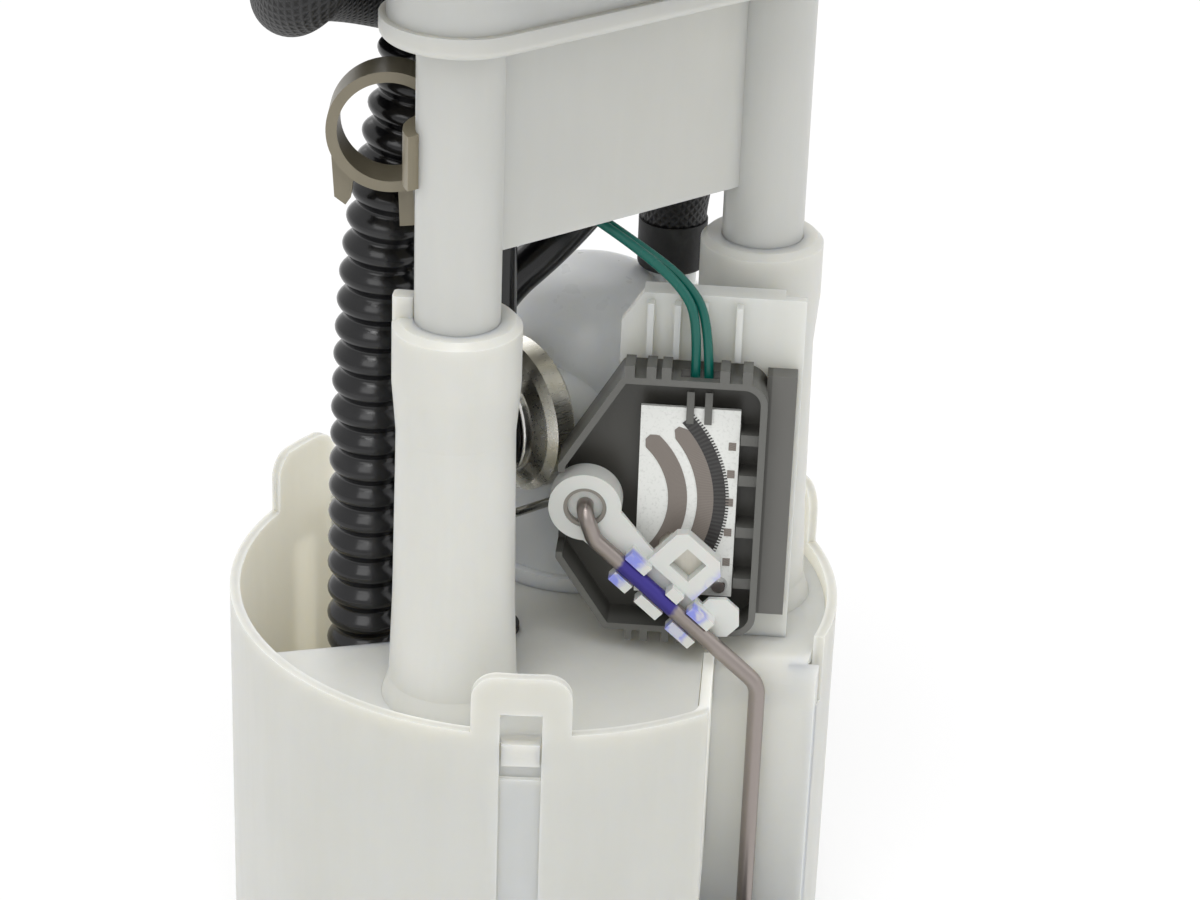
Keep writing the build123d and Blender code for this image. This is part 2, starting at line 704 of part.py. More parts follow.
# Top cap of the pump: brush holders, top bearing seat, outlet and terminals
with BuildPart() as pump_top_cap:
    with BuildSketch(Plane.XY.offset(shaft_top - 3)):
        with Locations((pump_x, pump_y)):
            Circle(pump_bore)
            Circle(4.5, mode=Mode.SUBTRACT)
    extrude(amount=3)
    with BuildSketch(Plane.XY.offset(shaft_top)):
        with Locations((pump_x, pump_y)):
            Circle(pump_bore)
            Circle(3.5, mode=Mode.SUBTRACT)
    extrude(amount=max(3.0, pump_top - shaft_top + 1))
    cap_top = shaft_top + max(3.0, pump_top - shaft_top + 1)
    for side in (-1, 1):
        with BuildSketch(Plane.XY.offset(brush_z - 0.9)):
            with Locations((pump_x + side * 11, pump_y)):
                Rectangle(8, 6.4)
        extrude(amount=shaft_top - brush_z)
        with BuildSketch(Plane.XY.offset(brush_z)):
            with Locations((pump_x + side * (6.1 + 3), pump_y)):
                Rectangle(6, 3.6)
        extrude(amount=4, mode=Mode.SUBTRACT)
    with BuildSketch(Plane.XY.offset(cap_top)):
        with Locations((pump_x, pump_y)):
            Circle(5.0)
            Circle(3.5, mode=Mode.SUBTRACT)
    extrude(amount=8)
    for side in (-1, 1):
        with BuildSketch(Plane.XY.offset(cap_top - 3)):
            with Locations((pump_x + side * 8.5, pump_y)):
                Rectangle(0.8, 4.0)
        extrude(amount=3, mode=Mode.SUBTRACT)
save(pump_top_cap, "pump_top_cap")

with BuildPart() as pump_terminals:
    for side in (-1, 1):
        with BuildSketch(Plane.XY.offset(cap_top - 3)):
            with Locations((pump_x + side * 8.5, pump_y)):
                Rectangle(0.8, 4.0)
        extrude(amount=8)
save(pump_terminals, "pump_terminals")

# Cradle that holds the pump over the floor, and the rubber cushion between them
with BuildPart() as pump_cradle:
    with BuildSketch(Plane.XY.offset(res_floor)):
        with Locations((pump_x, pump_y)):
            Circle(pump_r + 4.2)
            Circle(pump_r + 2.2, mode=Mode.SUBTRACT)
            with PolarLocations(pump_r + 3.2, 4, start_angle=45):
                Rectangle(8, 14, mode=Mode.SUBTRACT)
    extrude(amount=6)
    with BuildSketch(Plane.XY.offset(res_floor + 6)):
        with Locations((pump_x, pump_y)):
            Circle(pump_r + 4.2)
            Circle(pump_r + 2.2, mode=Mode.SUBTRACT)
    extrude(amount=22)
    with BuildSketch(Plane.XY.offset(res_floor + 6)):
        with Locations((pump_x, pump_y)):
            Circle(pump_r + 2.6)
            Circle(pump_r - 2.0, mode=Mode.SUBTRACT)
    extrude(amount=1.6)
save(pump_cradle, "pump_cradle")

cushion_z = res_floor + 7.6
with BuildPart() as pump_cushion:
    with BuildSketch(Plane.XY.offset(cushion_z)):
        with Locations((pump_x, pump_y)):
            Circle(pump_r + 2.2)
            Circle(pump_r - 2.0, mode=Mode.SUBTRACT)
    extrude(amount=pump_bottom - cushion_z)
    with BuildSketch(Plane.XY.offset(pump_bottom)):
        with Locations((pump_x, pump_y)):
            Circle(pump_r + 2.2)
            Circle(pump_r, mode=Mode.SUBTRACT)
    extrude(amount=14)
save(pump_cushion, "pump_cushion")

# Strainer under the inlet
with BuildPart() as strainer:
    with BuildSketch(Plane.XY.offset(res_floor)):
        with Locations((pump_x - 1, pump_y)):
            RectangleRounded(32, 22, 6)
    extrude(amount=pump_bottom - 4 - res_floor)
    fillet(strainer.edges().group_by(Axis.Z)[-1], 1.2)
save(strainer, "strainer")

# Umbrella valve in the floor
with BuildPart() as floor_valve:
    with BuildSketch(Plane.XZ.offset(26)):
        with BuildLine():
            Polyline((-20, 0.4), (-17.8, 0.4), (-17.8, res_floor), (-12, res_floor), (-12.6, res_floor + 1.2),
                     (-20, res_floor + 2.4), close=True)
        make_face()
    revolve(axis=Axis((-20, -26, 0), (0, 0, 1)))
save(floor_valve, "floor_valve")

# Jet pump on the floor, with the upright nipple of the corrugated hose
hose_foot = (-34.0, 9.0)
with BuildPart() as jet_pump:
    with BuildSketch(Plane.XY.offset(res_floor)):
        with Locations((hose_foot[0], hose_foot[1])):
            RectangleRounded(18, 18, 3)
    extrude(amount=12)
    with BuildSketch(Plane.XY.offset(res_floor + 12)):
        with Locations(hose_foot):
            Circle(5.2)
    extrude(amount=24)
    with Locations((hose_foot[0], hose_foot[1], res_floor + 6)):
        Cylinder(3.4, 40, align=(Align.CENTER, Align.CENTER, Align.MIN), mode=Mode.SUBTRACT)
    mixer = Plane(origin=(hose_foot[0], hose_foot[1] - 9, res_floor + 6), z_dir=(0.35, -1, 0))
    with BuildSketch(mixer):
        Circle(4.5)
    extrude(amount=22)
    with BuildSketch(mixer.offset(2)):
        Circle(2.6)
    extrude(amount=30, mode=Mode.SUBTRACT)
save(jet_pump, "jet_pump")

# Filter housing: a domed case over the pump outlet, with nipple and regulator seat
filter_base = deck_z
dome_z = filter_top - filter_dome_h


def dome_profile(radius, base, shoulder, top, round_r):
    """Half section of a domed case, with a rounded shoulder."""
    with BuildSketch(upright_section(pump_x, pump_y)) as profile:
        with BuildLine():
            Line((0, base), (radius, base))
            Line((radius, base), (radius, shoulder))
            Spline((radius, shoulder), (radius - round_r * 0.35, top - (top - shoulder) * 0.3), (0, top),
                   tangents=((0, 1), (-1, 0)))
            Line((0, top), (0, base))
        make_face()
    return profile.sketch


with BuildPart() as filter_housing:
    revolve(dome_profile(filter_r, filter_base, dome_z, filter_top, 12), axis=pump_axis)
    with BuildSketch(Plane.XY.offset(filter_base)):
        with Locations((pump_x, pump_y)):
            Circle(filter_foot_r)
    extrude(amount=3)
    seat = Plane(origin=(regulator_back_x, regulator_y, regulator_z), z_dir=(1, 0, 0))
    with BuildSketch(seat):
        Circle(9.5)
    extrude(amount=12)
    with BuildSketch(Plane.XY.offset(filter_top - 22)):
        with Locations((nipple_x, nipple_y)):
            Circle(nipple_r + 1.2)
    extrude(amount=16)
    with BuildSketch(Plane.XY.offset(filter_top - 22)):
        with Locations((nipple_x, nipple_y)):
            Circle(nipple_r)
    extrude(amount=nipple_top - filter_top + 22)
    inner = dome_profile(filter_r - filter_wall, filter_base - 1, dome_z, filter_top - filter_wall, 12)
    revolve(inner, axis=pump_axis, mode=Mode.SUBTRACT)
    with Locations((nipple_x, nipple_y, filter_top - 26)):
        Cylinder(nipple_r - 2, 40, align=(Align.CENTER, Align.CENTER, Align.MIN), mode=Mode.SUBTRACT)
    with BuildSketch(seat.offset(-0.5)):
        Circle(3.5)
    extrude(amount=14, mode=Mode.SUBTRACT)
    # shallow seat for the regulator's can
    with BuildSketch(seat):
        Circle(regulator_r + 0.15)
    extrude(amount=-20, mode=Mode.SUBTRACT)
save(filter_housing, "filter_housing")

# Pleated filter element between two end caps
element_bottom = cap_top + 6
element_top = dome_z + 2
pleats = 22
pleat_out = filter_r - filter_wall - 1.2
pleat_in = 9.5
pleat_points = []
for i in range(2 * pleats):
    a = radians(180.0 * i / pleats)
    r = pleat_out if i % 2 else pleat_in
    pleat_points.append((r * cos(a), r * sin(a)))
with BuildPart() as filter_element:
    for z in (element_bottom, element_top - 2):
        with BuildSketch(Plane.XY.offset(z)):
            with Locations((pump_x, pump_y)):
                Circle(filter_r - filter_wall - 0.6)
                Circle(5.0, mode=Mode.SUBTRACT)
        extrude(amount=2)
    with BuildSketch(Plane.XY.offset(element_bottom + 2)):
        with Locations((pump_x, pump_y)):
            Polygon(*pleat_points, align=None)
            Circle(pleat_in - 1.5, mode=Mode.SUBTRACT)
    extrude(amount=element_top - element_bottom - 4)
save(filter_element, "filter_element")

# Pressure regulator
regulator_axis = Axis((0, regulator_y, regulator_z), (1, 0, 0))
with BuildPart() as regulator_can:
    with BuildSketch(Plane(origin=(0, regulator_y, regulator_z), x_dir=(1, 0, 0), z_dir=(0, -1, 0))):
        with BuildLine():
            Polyline((regulator_face_x, regulator_port_r), (regulator_face_x, regulator_ring_r),
                     (regulator_face_x + 1.5, regulator_r - 1.5), (regulator_face_x + 3, regulator_r),
                     (regulator_back_x - 1, regulator_r), (regulator_back_x, regulator_r - 1),
                     (regulator_back_x, 3.5), (regulator_back_x - 3, 3.5),
                     (regulator_back_x - 3, regulator_port_r), close=True)
        make_face()
    revolve(axis=regulator_axis)
save(regulator_can, "regulator_can")

ring_face = Plane(origin=(regulator_face_x, regulator_y, regulator_z), z_dir=(-1, 0, 0))
with BuildPart() as regulator_ring:
    with BuildSketch(ring_face):
        Circle(regulator_ring_r)
        Circle(regulator_port_r, mode=Mode.SUBTRACT)
    extrude(amount=2.2)
    fillet(regulator_ring.edges().filter_by(GeomType.CIRCLE).sort_by(Axis.X)[:2], 0.9)
save(regulator_ring, "regulator_ring")

with BuildPart() as regulator_seal:
    with BuildSketch(Plane(origin=(0, regulator_y, regulator_z), x_dir=(1, 0, 0), z_dir=(0, -1, 0))):
        with Locations((regulator_face_x - 2.2 - 0.8, regulator_port_r + 1.4)):
            Circle(0.8)
    revolve(axis=regulator_axis)
save(regulator_seal, "regulator_seal")

# Wire clip that holds the regulator on its seat
clip_wire_r = 0.9
clip_x = regulator_face_x - 2.2 - clip_wire_r
back_x = regulator_back_x + 2.4
clip_low = regulator_z - regulator_r - 1.6
clip_points = [
    (clip_x, regulator_y - 8, regulator_z - 6),
    (clip_x, regulator_y - 8, clip_low),
    (back_x, regulator_y - 8, clip_low),
    (back_x, regulator_y - 8, regulator_z - 11.5),
]
with BuildPart() as regulator_clip:
    with BuildLine() as clip_route:
        FilletPolyline(*clip_points, radius=2.2)
    with BuildSketch(clip_route.line ^ 0):
        Circle(clip_wire_r)
    sweep(path=clip_route.line)
save(regulator_clip, "regulator_clip")

# Sender bracket: a ribbed panel on the deck with gussets back to the filter housing
with BuildPart() as sender_bracket:
    with BuildSketch(sender_face.offset(bracket_n)):
        with BuildLine():
            Polyline((bracket_left, deck_z), (bracket_right, deck_z), (bracket_right, bracket_top),
                     (bracket_left + 4, bracket_top), (bracket_left, bracket_top - 6), close=True)
        make_face()
    extrude(amount=bracket_t)
    for u in (21.5, 26.5, 31.5, 38.0):
        with BuildSketch(sender_face.offset(housing_back)):
            with Locations((u, housing_top + 1.2)):
                Rectangle(1.2, bracket_top - housing_top - 2.4, align=(Align.CENTER, Align.MIN))
        extrude(amount=2.4)
    for u in (18.5, 24.0):
        with BuildSketch(sender_plan.offset(deck_z)):
            with Locations((u, -bracket_n)):
                Rectangle(1.8, 9, align=(Align.CENTER, Align.MIN))
        extrude(amount=50)
    with BuildSketch(sender_plan.offset(deck_z)):
        with Locations((bracket_left, -bracket_n)):
            Rectangle(12, 9, align=(Align.MIN, Align.MIN))
    extrude(amount=2)
    with BuildSketch(sender_plan.offset(deck_z + 70)):
        with Locations(((bracket_left + bracket_right) / 2, -bracket_n)):
            Rectangle(bracket_right - bracket_left - 8, 3, align=(Align.CENTER, Align.MIN))
    extrude(amount=1.4)
save(sender_bracket, "sender_bracket")

# Sender housing: an open tray with a raised lip, slotted clips and a grey side strip
tray_points = [
    (17.0, housing_top), (housing_right, housing_top), (housing_right, housing_bottom),
    (15.2, housing_bottom), (5.6, 98.2), (5.6, 118.0),
]
boss_r = 4.6
with BuildPart() as sender_housing:
    with BuildSketch(sender_face.offset(housing_back)) as tray:
        with BuildLine():
            Polyline(*tray_points, close=True)
        make_face()
        fillet([v for v in tray.vertices() if v.X > 40], 4.5)
        fillet([v for v in tray.vertices() if v.X < 18], 1.2)
    extrude(amount=housing_lip - housing_back)
    with BuildSketch(sender_face.offset(housing_back + 1.4)) as hollow:
        with BuildLine():
            Polyline(*tray_points, close=True)
        make_face()
        fillet([v for v in hollow.vertices() if v.X > 40], 4.5)
        offset(amount=-housing_wall, kind=Kind.INTERSECTION)
    extrude(amount=20, mode=Mode.SUBTRACT)
    # the left wall is low behind the hub
    with BuildSketch(sender_face.offset(housing_back + 3)):
        with Locations((3, 99.5)):
            Rectangle(6, 17, align=(Align.MIN, Align.MIN))
    extrude(amount=20, mode=Mode.SUBTRACT)
    # pivot boss
    with BuildSketch(sender_face.offset(housing_back)):
        with Locations((pivot_u, pivot_z)):
            Circle(boss_r)
    extrude(amount=5)
    # card ledges and side fingers
    for z in (card_bottom + 3, card_top - 6):
        with BuildSketch(sender_face.offset(housing_back)):
            with Locations((card_left - 0.2, z)):
                Rectangle(card_right - card_left + 0.4, 3, align=(Align.MIN, Align.MIN))
        extrude(amount=card_front - card_t - housing_back)
    for z in (92.5, 103.5, 114.5, 123.0):
        with BuildSketch(sender_face.offset(housing_back)):
            with Locations((card_right + 0.2, z)):
                Rectangle(housing_right - housing_wall - card_right, 2.2, align=(Align.MIN, Align.MIN))
        extrude(amount=card_front + 1.0 - housing_back)
    # grey strip beside the tray
    with BuildSketch(sender_face.offset(housing_back)):
        with Locations((housing_right - 0.4, 86.2)):
            Rectangle(5.6, 50.4, align=(Align.MIN, Align.MIN))
    extrude(amount=4)
    # upright clips on the top wall
    for u in (18.4, 22.4, 25.2, 36.0, 40.2):
        with BuildSketch(sender_face.offset(housing_lip - 5)):
            with Locations((u, housing_top - 1)):
                Rectangle(1.8, 3.4, align=(Align.CENTER, Align.MIN))
        extrude(amount=5)
    # clips under the bottom wall
    for u in (20.0, 23.0, 27.0, 30.0):
        with BuildSketch(sender_face.offset(housing_lip - 5)):
            with Locations((u, housing_bottom + 1)):
                Rectangle(1.4, 3.2, align=(Align.CENTER, Align.MAX))
        extrude(amount=5)
    # slot for the two leads in the top wall
    with BuildSketch(sender_plan.offset(housing_top - 4)):
        with Locations((31.5, -17.6)):
            Rectangle(7.4, 3.4)
    extrude(amount=6, mode=Mode.SUBTRACT)
    with BuildSketch(sender_face.offset(housing_back - 1)):
        with Locations((pivot_u, pivot_z)):
            Circle(wire_r + slide_fit)
    extrude(amount=12, mode=Mode.SUBTRACT)
save(sender_housing, "sender_housing")

# Resistor card and its printed tracks
with BuildPart() as resistor_card:
    with BuildSketch(sender_face.offset(card_front - card_t)):
        with Locations(((card_left + card_right) / 2, (card_bottom + card_top) / 2)):
            Rectangle(card_right - card_left, card_top - card_bottom)
    extrude(amount=card_t)
save(resistor_card, "resistor_card")


def arc_band(inner, outer, start, end):
    """A band between two radii about the pivot, from one angle to another."""
    middle = (start + end) / 2
    points = []
    for radius, order in ((inner, (start, middle, end)), (outer, (end, middle, start))):
        for a in order:
            t = radians(a)
            points.append((pivot_u + radius * cos(t), pivot_z + radius * sin(t)))
    with BuildSketch(sender_face.offset(card_front)) as band:
        with BuildLine():
            ThreePointArc(points[0], points[1], points[2])
            Line(points[2], points[3])
            ThreePointArc(points[3], points[4], points[5])
            Line(points[5], points[0])
        make_face()
    return band.sketch


with BuildPart() as card_tracks:
    extrude(arc_band(15.4, 19.0, -42, 50), amount=track_t)
    extrude(arc_band(20.9, 24.0, -44, 43), amount=track_t)
    for k in range(19):
        extrude(arc_band(24.3, 26.4, -34 + 4 * k, -32.2 + 4 * k), amount=track_t)
save(card_tracks, "card_tracks")

# Terminals of the sender: pins over the top edge of the card
with BuildPart() as sender_terminals:
    for u in (29.8, 33.2):
        with BuildSketch(sender_face.offset(card_front + track_t)):
            with Locations((u, card_top - 3)):
                Rectangle(1.4, 6.6, align=(Align.CENTER, Align.MIN))
        extrude(amount=0.5)
save(sender_terminals, "sender_terminals")

with BuildPart() as solder_joint:
    with BuildSketch(sender_face.offset(card_front)):
        with Locations((36.8, 92.6)):
            Circle(1.7)
    extrude(amount=1.2, taper=20)
save(solder_joint, "solder_joint")

# Float arm: holder, bush, wire, wiper, float and keeper
holder_face = Plane(origin=sender_point(pivot_u, holder_back, pivot_z),
                    x_dir=sender_face.x_dir.rotate(Axis((0, 0, 0), n_dir), arm_pitch), z_dir=n_dir)
hub_r_out = 6.9
bush_r = 4.1
wire_foot_u = 13.1
wire_foot_z = 104.4
pitch = radians(arm_pitch)
wire_offset = (wire_foot_z - pivot_z) * cos(pitch) - (wire_foot_u - pivot_u) * sin(pitch)
plate_t = hub_face - holder_back
with BuildPart() as arm_holder:
    # hub
    with BuildSketch(holder_face.offset(-4.0)):
        Circle(hub_r_out)
        Circle(boss_r + slide_fit + 0.1, mode=Mode.SUBTRACT)
    extrude(amount=2.4)
    with BuildSketch(holder_face.offset(-1.6)):
        Circle(hub_r_out)
        Circle(wire_r, mode=Mode.SUBTRACT)
    extrude(amount=1.2)
    with BuildSketch(holder_face.offset(-0.4)):
        Circle(hub_r_out)
        Circle(bush_r, mode=Mode.SUBTRACT)
    extrude(amount=plate_t + 0.4)
    # spine under the wire
    with BuildSketch(holder_face):
        with BuildLine():
            Polyline((4.5, -5.2), (36.5, -5.2), (36.5, 0.6), (26.0, 1.5), (13, 3.0), (5.4, 4.2), close=True)
        make_face()
        Circle(bush_r, mode=Mode.SUBTRACT)
    extrude(amount=plate_t)
    # block with the square window, and the octagonal end plate
    with BuildSketch(holder_face):
        with BuildLine():
            Polyline((15.6, 1.0), (15.6, 9.0), (17.0, 10.6), (25.4, 10.6), (27.6, 8.6), (27.6, 1.0), close=True)
        make_face()
        with Locations((21.6, 5.8)):
            Rectangle(5.0, 5.0, mode=Mode.SUBTRACT)
    extrude(amount=plate_t + 1.4)
    with BuildSketch(holder_face):
        with Locations((34.0, 1.2)):
            RegularPolygon(4.4, 8, rotation=22.5)
    extrude(amount=plate_t)
    # tabs that grip the wire from both sides
    tab_h = wire_n + 1.2 - hub_face
    for along, across, length in ((14.4, 1, 5.0), (14.8, -1, 4.4), (22.2, -1, 5.6), (24.0, 1, 3.0),
                                  (30.6, -1, 6.0), (30.8, 1, 5.4)):
        middle = wire_offset + across * (wire_r + 1.08)
        with BuildSketch(holder_face.offset(plate_t)):
            with Locations((along, middle)):
                Rectangle(length, 2.1)
        extrude(amount=tab_h)
save(arm_holder, "arm_holder")

with BuildPart() as pivot_bush:
    with BuildSketch(holder_face.offset(-0.4)):
        Circle(bush_r)
        Circle(bush_r - 0.7, mode=Mode.SUBTRACT)
    extrude(amount=plate_t + 0.2)
save(pivot_bush, "pivot_bush")

wire_points = [
    sender_point(pivot_u, housing_back + 0.6, pivot_z),
    sender_point(pivot_u, wire_n, pivot_z),
    sender_point(wire_foot_u, wire_n, wire_foot_z),
    sender_point(float_u, wire_n, 75.3),
    sender_point(float_u, wire_n, float_z),
    sender_point(float_u, wire_n + float_len + 5.4, float_z),
]
with BuildPart() as float_wire:
    with BuildLine() as wire_route:
        FilletPolyline(*wire_points, radius=[2.6, 3.4, 5.0, 3.4])
    with BuildSketch(wire_route.line ^ 0):
        Circle(wire_r)
    sweep(path=wire_route.line)
save(float_wire, "float_wire")

with BuildPart() as wiper_contact:
    wiper_gap = card_front + track_t + 0.05
    with BuildSketch(holder_face.offset(-0.4)):
        with Locations((20.0, 4.6)):
            Rectangle(9.0, 6.0)
    extrude(amount=0.4)
    for reach in (17.2, 22.4):
        t = radians(15)
        with BuildSketch(holder_face.offset(wiper_gap - holder_back)):
            with Locations((reach * cos(t), reach * sin(t))):
                Rectangle(1.2, 2.2)
        extrude(amount=holder_back - 0.4 - wiper_gap)
save(wiper_contact, "wiper_contact")

float_start = wire_n + wire_r + 1.8
float_face = sender_face.offset(float_start)
with BuildPart() as fuel_float:
    with BuildSketch(float_face):
        with Locations((float_u, float_z)):
            Circle(float_r)
            Circle(wire_r + slide_fit, mode=Mode.SUBTRACT)
    extrude(amount=float_len)
    rims = fuel_float.edges().filter_by(GeomType.CIRCLE).filter_by(lambda e: e.radius > 5)
    fillet(rims, 2.0)
save(fuel_float, "fuel_float")

with BuildPart() as float_keeper:
    with BuildSketch(float_face.offset(float_len + 0.3)):
        with Locations((float_u, float_z)):
            Circle(4.0)
            Circle(wire_r, mode=Mode.SUBTRACT)
    extrude(amount=0.8)
save(float_keeper, "float_keeper")

# Boot on the outlet nipple
with BuildPart() as hose_boot:
    with BuildSketch(Plane.XY.offset(nipple_top - 6)):
        with Locations((nipple_x, nipple_y)):
            Circle(boot_r)
            Circle(nipple_r, mode=Mode.SUBTRACT)
    extrude(amount=6)
    with BuildSketch(Plane.XY.offset(nipple_top)):
        with Locations((nipple_x, nipple_y)):
            Circle(boot_r)
            Circle(3.0, mode=Mode.SUBTRACT)
    extrude(amount=4)
    fillet(hose_boot.edges().group_by(Axis.Z)[0].sort_by(SortBy.LENGTH)[-1], 1.0)
save(hose_boot, "hose_boot")

# Routes of the hoses and leads, from the reservoir up to the flange
corrugated_route = [
    (hose_foot[0], hose_foot[1], res_floor + 18),
    (hose_foot[0], hose_foot[1], 80),
    (-32.6, 8.6, 138),
    (-30.4, 7.2, 166),
    (-25.6, 3.9, 194),
    (corrugated_end[0], corrugated_end[1], 216),
    (corrugated_end[0], corrugated_end[1], flange_z),
]
braid_route = [
    (nipple_x, nipple_y, nipple_top + 4),
    (nipple_x, nipple_y, 154),
    (37.6, 2.2, 169),
    (24.0, 13.0, 182),
    (0.0, 25.0, 192),
    (-26.0, 27.0, 202),
    (-46.0, 17.0, 208),
    (-55.5, 1.0, 211),
    (-56.5, -10.0, 219),
    (braid_end[0], braid_end[1], 229),
    (braid_end[0], braid_end[1], flange_z),
]
vent_route = [
    (-16.0, 4.5, deck_z - deck_t),
    (-16.0, 4.5, 126),
    (-10.0, 3.0, 144),
    (4.0, 1.0, 153),
    (17.0, 1.0, 163),
    (18.0, 2.0, 185),
    (vent_end[0], vent_end[1], 212),
    (vent_end[0], vent_end[1], flange_z),
]
sleeve_route = [
    (-15.5, -7.0, deck_z - deck_t),
    (-15.5, -7.0, 130),
    (-15.7, -6.0, 185),
    (sleeve_end[0], sleeve_end[1], 208),
    (sleeve_end[0], sleeve_end[1], plug_z),
]
hose(corrugated_route, corrugated_r, "corrugated_hose", bore=5.2)
hose(braid_route, braid_r, "braided_hose", bore=4.2)
hose(vent_route, tube_r, "vent_tube", bore=2.6)
hose(sleeve_route, sleeve_r, "lead_sleeve")
lead_foot = sender_point(33.0, 17.6, housing_top - 2)
lead_a_route = [
    (lead_foot.X, lead_foot.Y, lead_foot.Z),
    (lead_foot.X + 0.3, lead_foot.Y + 1.0, 147),
    (lead_foot.X - 1.5, lead_foot.Y + 5.0, 154),
    (lead_foot.X - 7.5, lead_foot.Y + 14.0, 160.5),
    (-3.0, -10.0, 168),
    (-4.0, -4.6, 196),
    (-4.0, -4.6, plug_z),
]
# the second lead runs beside the first
lead_shift = [(-1.93, 1.74, 0), (-2.1, 0.6, 0), (-2.1, -0.6, 0), (-2.1, -0.9, 0.8),
              (-2.4, 0, 1.0), (-2.4, 0, 0), (-2.4, 0, 0)]
lead_b_route = [(x + dx, y + dy, z + dz) for (x, y, z), (dx, dy, dz) in zip(lead_a_route, lead_shift)]
hose(lead_a_route, lead_r, "sender_lead_a")
hose(lead_b_route, lead_r, "sender_lead_b")
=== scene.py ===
"""Fuel pump module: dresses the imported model, adds its hoses, springs and printed card, and lights it."""

import logging
import math
from dataclasses import dataclass
from enum import Enum
from typing import Optional, Sequence, Union

import bpy
from mathutils import Matrix, Vector


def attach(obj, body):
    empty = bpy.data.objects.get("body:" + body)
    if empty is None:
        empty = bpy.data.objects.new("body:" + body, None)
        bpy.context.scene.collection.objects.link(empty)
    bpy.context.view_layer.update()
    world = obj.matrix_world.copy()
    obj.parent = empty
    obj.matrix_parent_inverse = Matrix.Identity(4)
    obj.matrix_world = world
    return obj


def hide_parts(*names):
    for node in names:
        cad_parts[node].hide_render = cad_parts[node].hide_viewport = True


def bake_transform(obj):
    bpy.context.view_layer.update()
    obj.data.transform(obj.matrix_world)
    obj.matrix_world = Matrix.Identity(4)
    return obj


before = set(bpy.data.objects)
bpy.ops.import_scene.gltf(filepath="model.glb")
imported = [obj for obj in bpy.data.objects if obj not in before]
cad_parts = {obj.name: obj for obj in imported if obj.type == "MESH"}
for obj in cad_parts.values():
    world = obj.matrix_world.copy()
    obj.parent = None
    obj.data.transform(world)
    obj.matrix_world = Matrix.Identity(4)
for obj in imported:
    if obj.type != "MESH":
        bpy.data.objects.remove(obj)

LOG = logging.getLogger("fuel_pump_module")
MM = 0.001
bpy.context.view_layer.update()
Number = Union[float, "Sock"]
Point = tuple[float, float, float]
NOISE_ROUGHNESS = 0.55
SAMPLES_PER_SPAN = 24

# The sender's own directions: along its face, and out of it
SENDER_AZIMUTH = math.radians(-42.0)
FACE = Vector((math.cos(SENDER_AZIMUTH), math.sin(SENDER_AZIMUTH), 0.0))
OUT = Vector((math.sin(SENDER_AZIMUTH), -math.cos(SENDER_AZIMUTH), 0.0))


def sender_point(u: float, n: float, z: float) -> Vector:
    """A point given along the sender's face, out of it and up, in millimetres, as a point in metres."""
    return (FACE * u + OUT * n + Vector((0.0, 0.0, z))) * MM


class Body(Enum):
    """The bodies that hold the pieces made here."""

    RESERVOIR = "reservoir"
    FLANGE = "flange"


class Sock:
    """A node socket that can be used in arithmetic."""

    def __init__(self, sheet: "NodeSheet", socket: bpy.types.NodeSocket) -> None:
        """Keeps the socket and the sheet it belongs to."""
        self.sheet = sheet
        self.socket = socket

    def _with(self, operation: str, first: Number, second: Number) -> "Sock":
        """One Math node on two values.

        Args:
            operation: the Math node's operation.
            first: the first value.
            second: the second value.

        Returns:
            The result's socket.
        """
        return self.sheet.add("ShaderNodeMath", {"operation": operation}, {0: first, 1: second})

    def __add__(self, other: Number) -> "Sock":
        """Sum."""
        return self._with("ADD", self, other)

    def __radd__(self, other: Number) -> "Sock":
        """Sum, reflected."""
        return self._with("ADD", other, self)

    def __sub__(self, other: Number) -> "Sock":
        """Difference."""
        return self._with("SUBTRACT", self, other)

    def __rsub__(self, other: Number) -> "Sock":
        """Difference, reflected."""
        return self._with("SUBTRACT", other, self)

    def __mul__(self, other: Number) -> "Sock":
        """Product."""
        return self._with("MULTIPLY", self, other)

    def power(self, exponent: Number) -> "Sock":
        """The value to a power."""
        return self._with("POWER", self, exponent)

    def sine(self) -> "Sock":
        """The sine of the value."""
        return self._with("SINE", self, 0.0)

    def angle(self, run: "Sock") -> "Sock":
        """The angle of a rise over a run, in radians."""
        return self._with("ARCTAN2", self, run)

    def magnitude(self) -> "Sock":
        """The value without its sign."""
        return self._with("ABSOLUTE", self, 0.0)

    def least(self, other: Number) -> "Sock":
        """The smaller of two values."""
        return self._with("MINIMUM", self, other)

    def most(self, other: Number) -> "Sock":
        """The larger of two values."""
        return self._with("MAXIMUM", self, other)


Colour = Union[Sequence[float], Sock]


def tree_node(
    tree: bpy.types.NodeTree, kind: str, settings: Optional[dict], values: Optional[dict]
) -> bpy.types.Node:
    """Adds one node to a tree.

    Args:
        tree: the tree.
        kind: the node's type.
        settings: its properties, set first.
        values: its inputs, by name or number, as plain values or sockets.

    Returns:
        The node.
    """
    node = tree.nodes.new(kind)
    for key, value in (settings or {}).items():
        setattr(node, key, value)
    for key, value in (values or {}).items():
        if isinstance(value, Sock):
            value = value.socket
        if isinstance(value, bpy.types.NodeSocket):
            tree.links.new(value, node.inputs[key])
        else:
            node.inputs[key].default_value = value
    return node


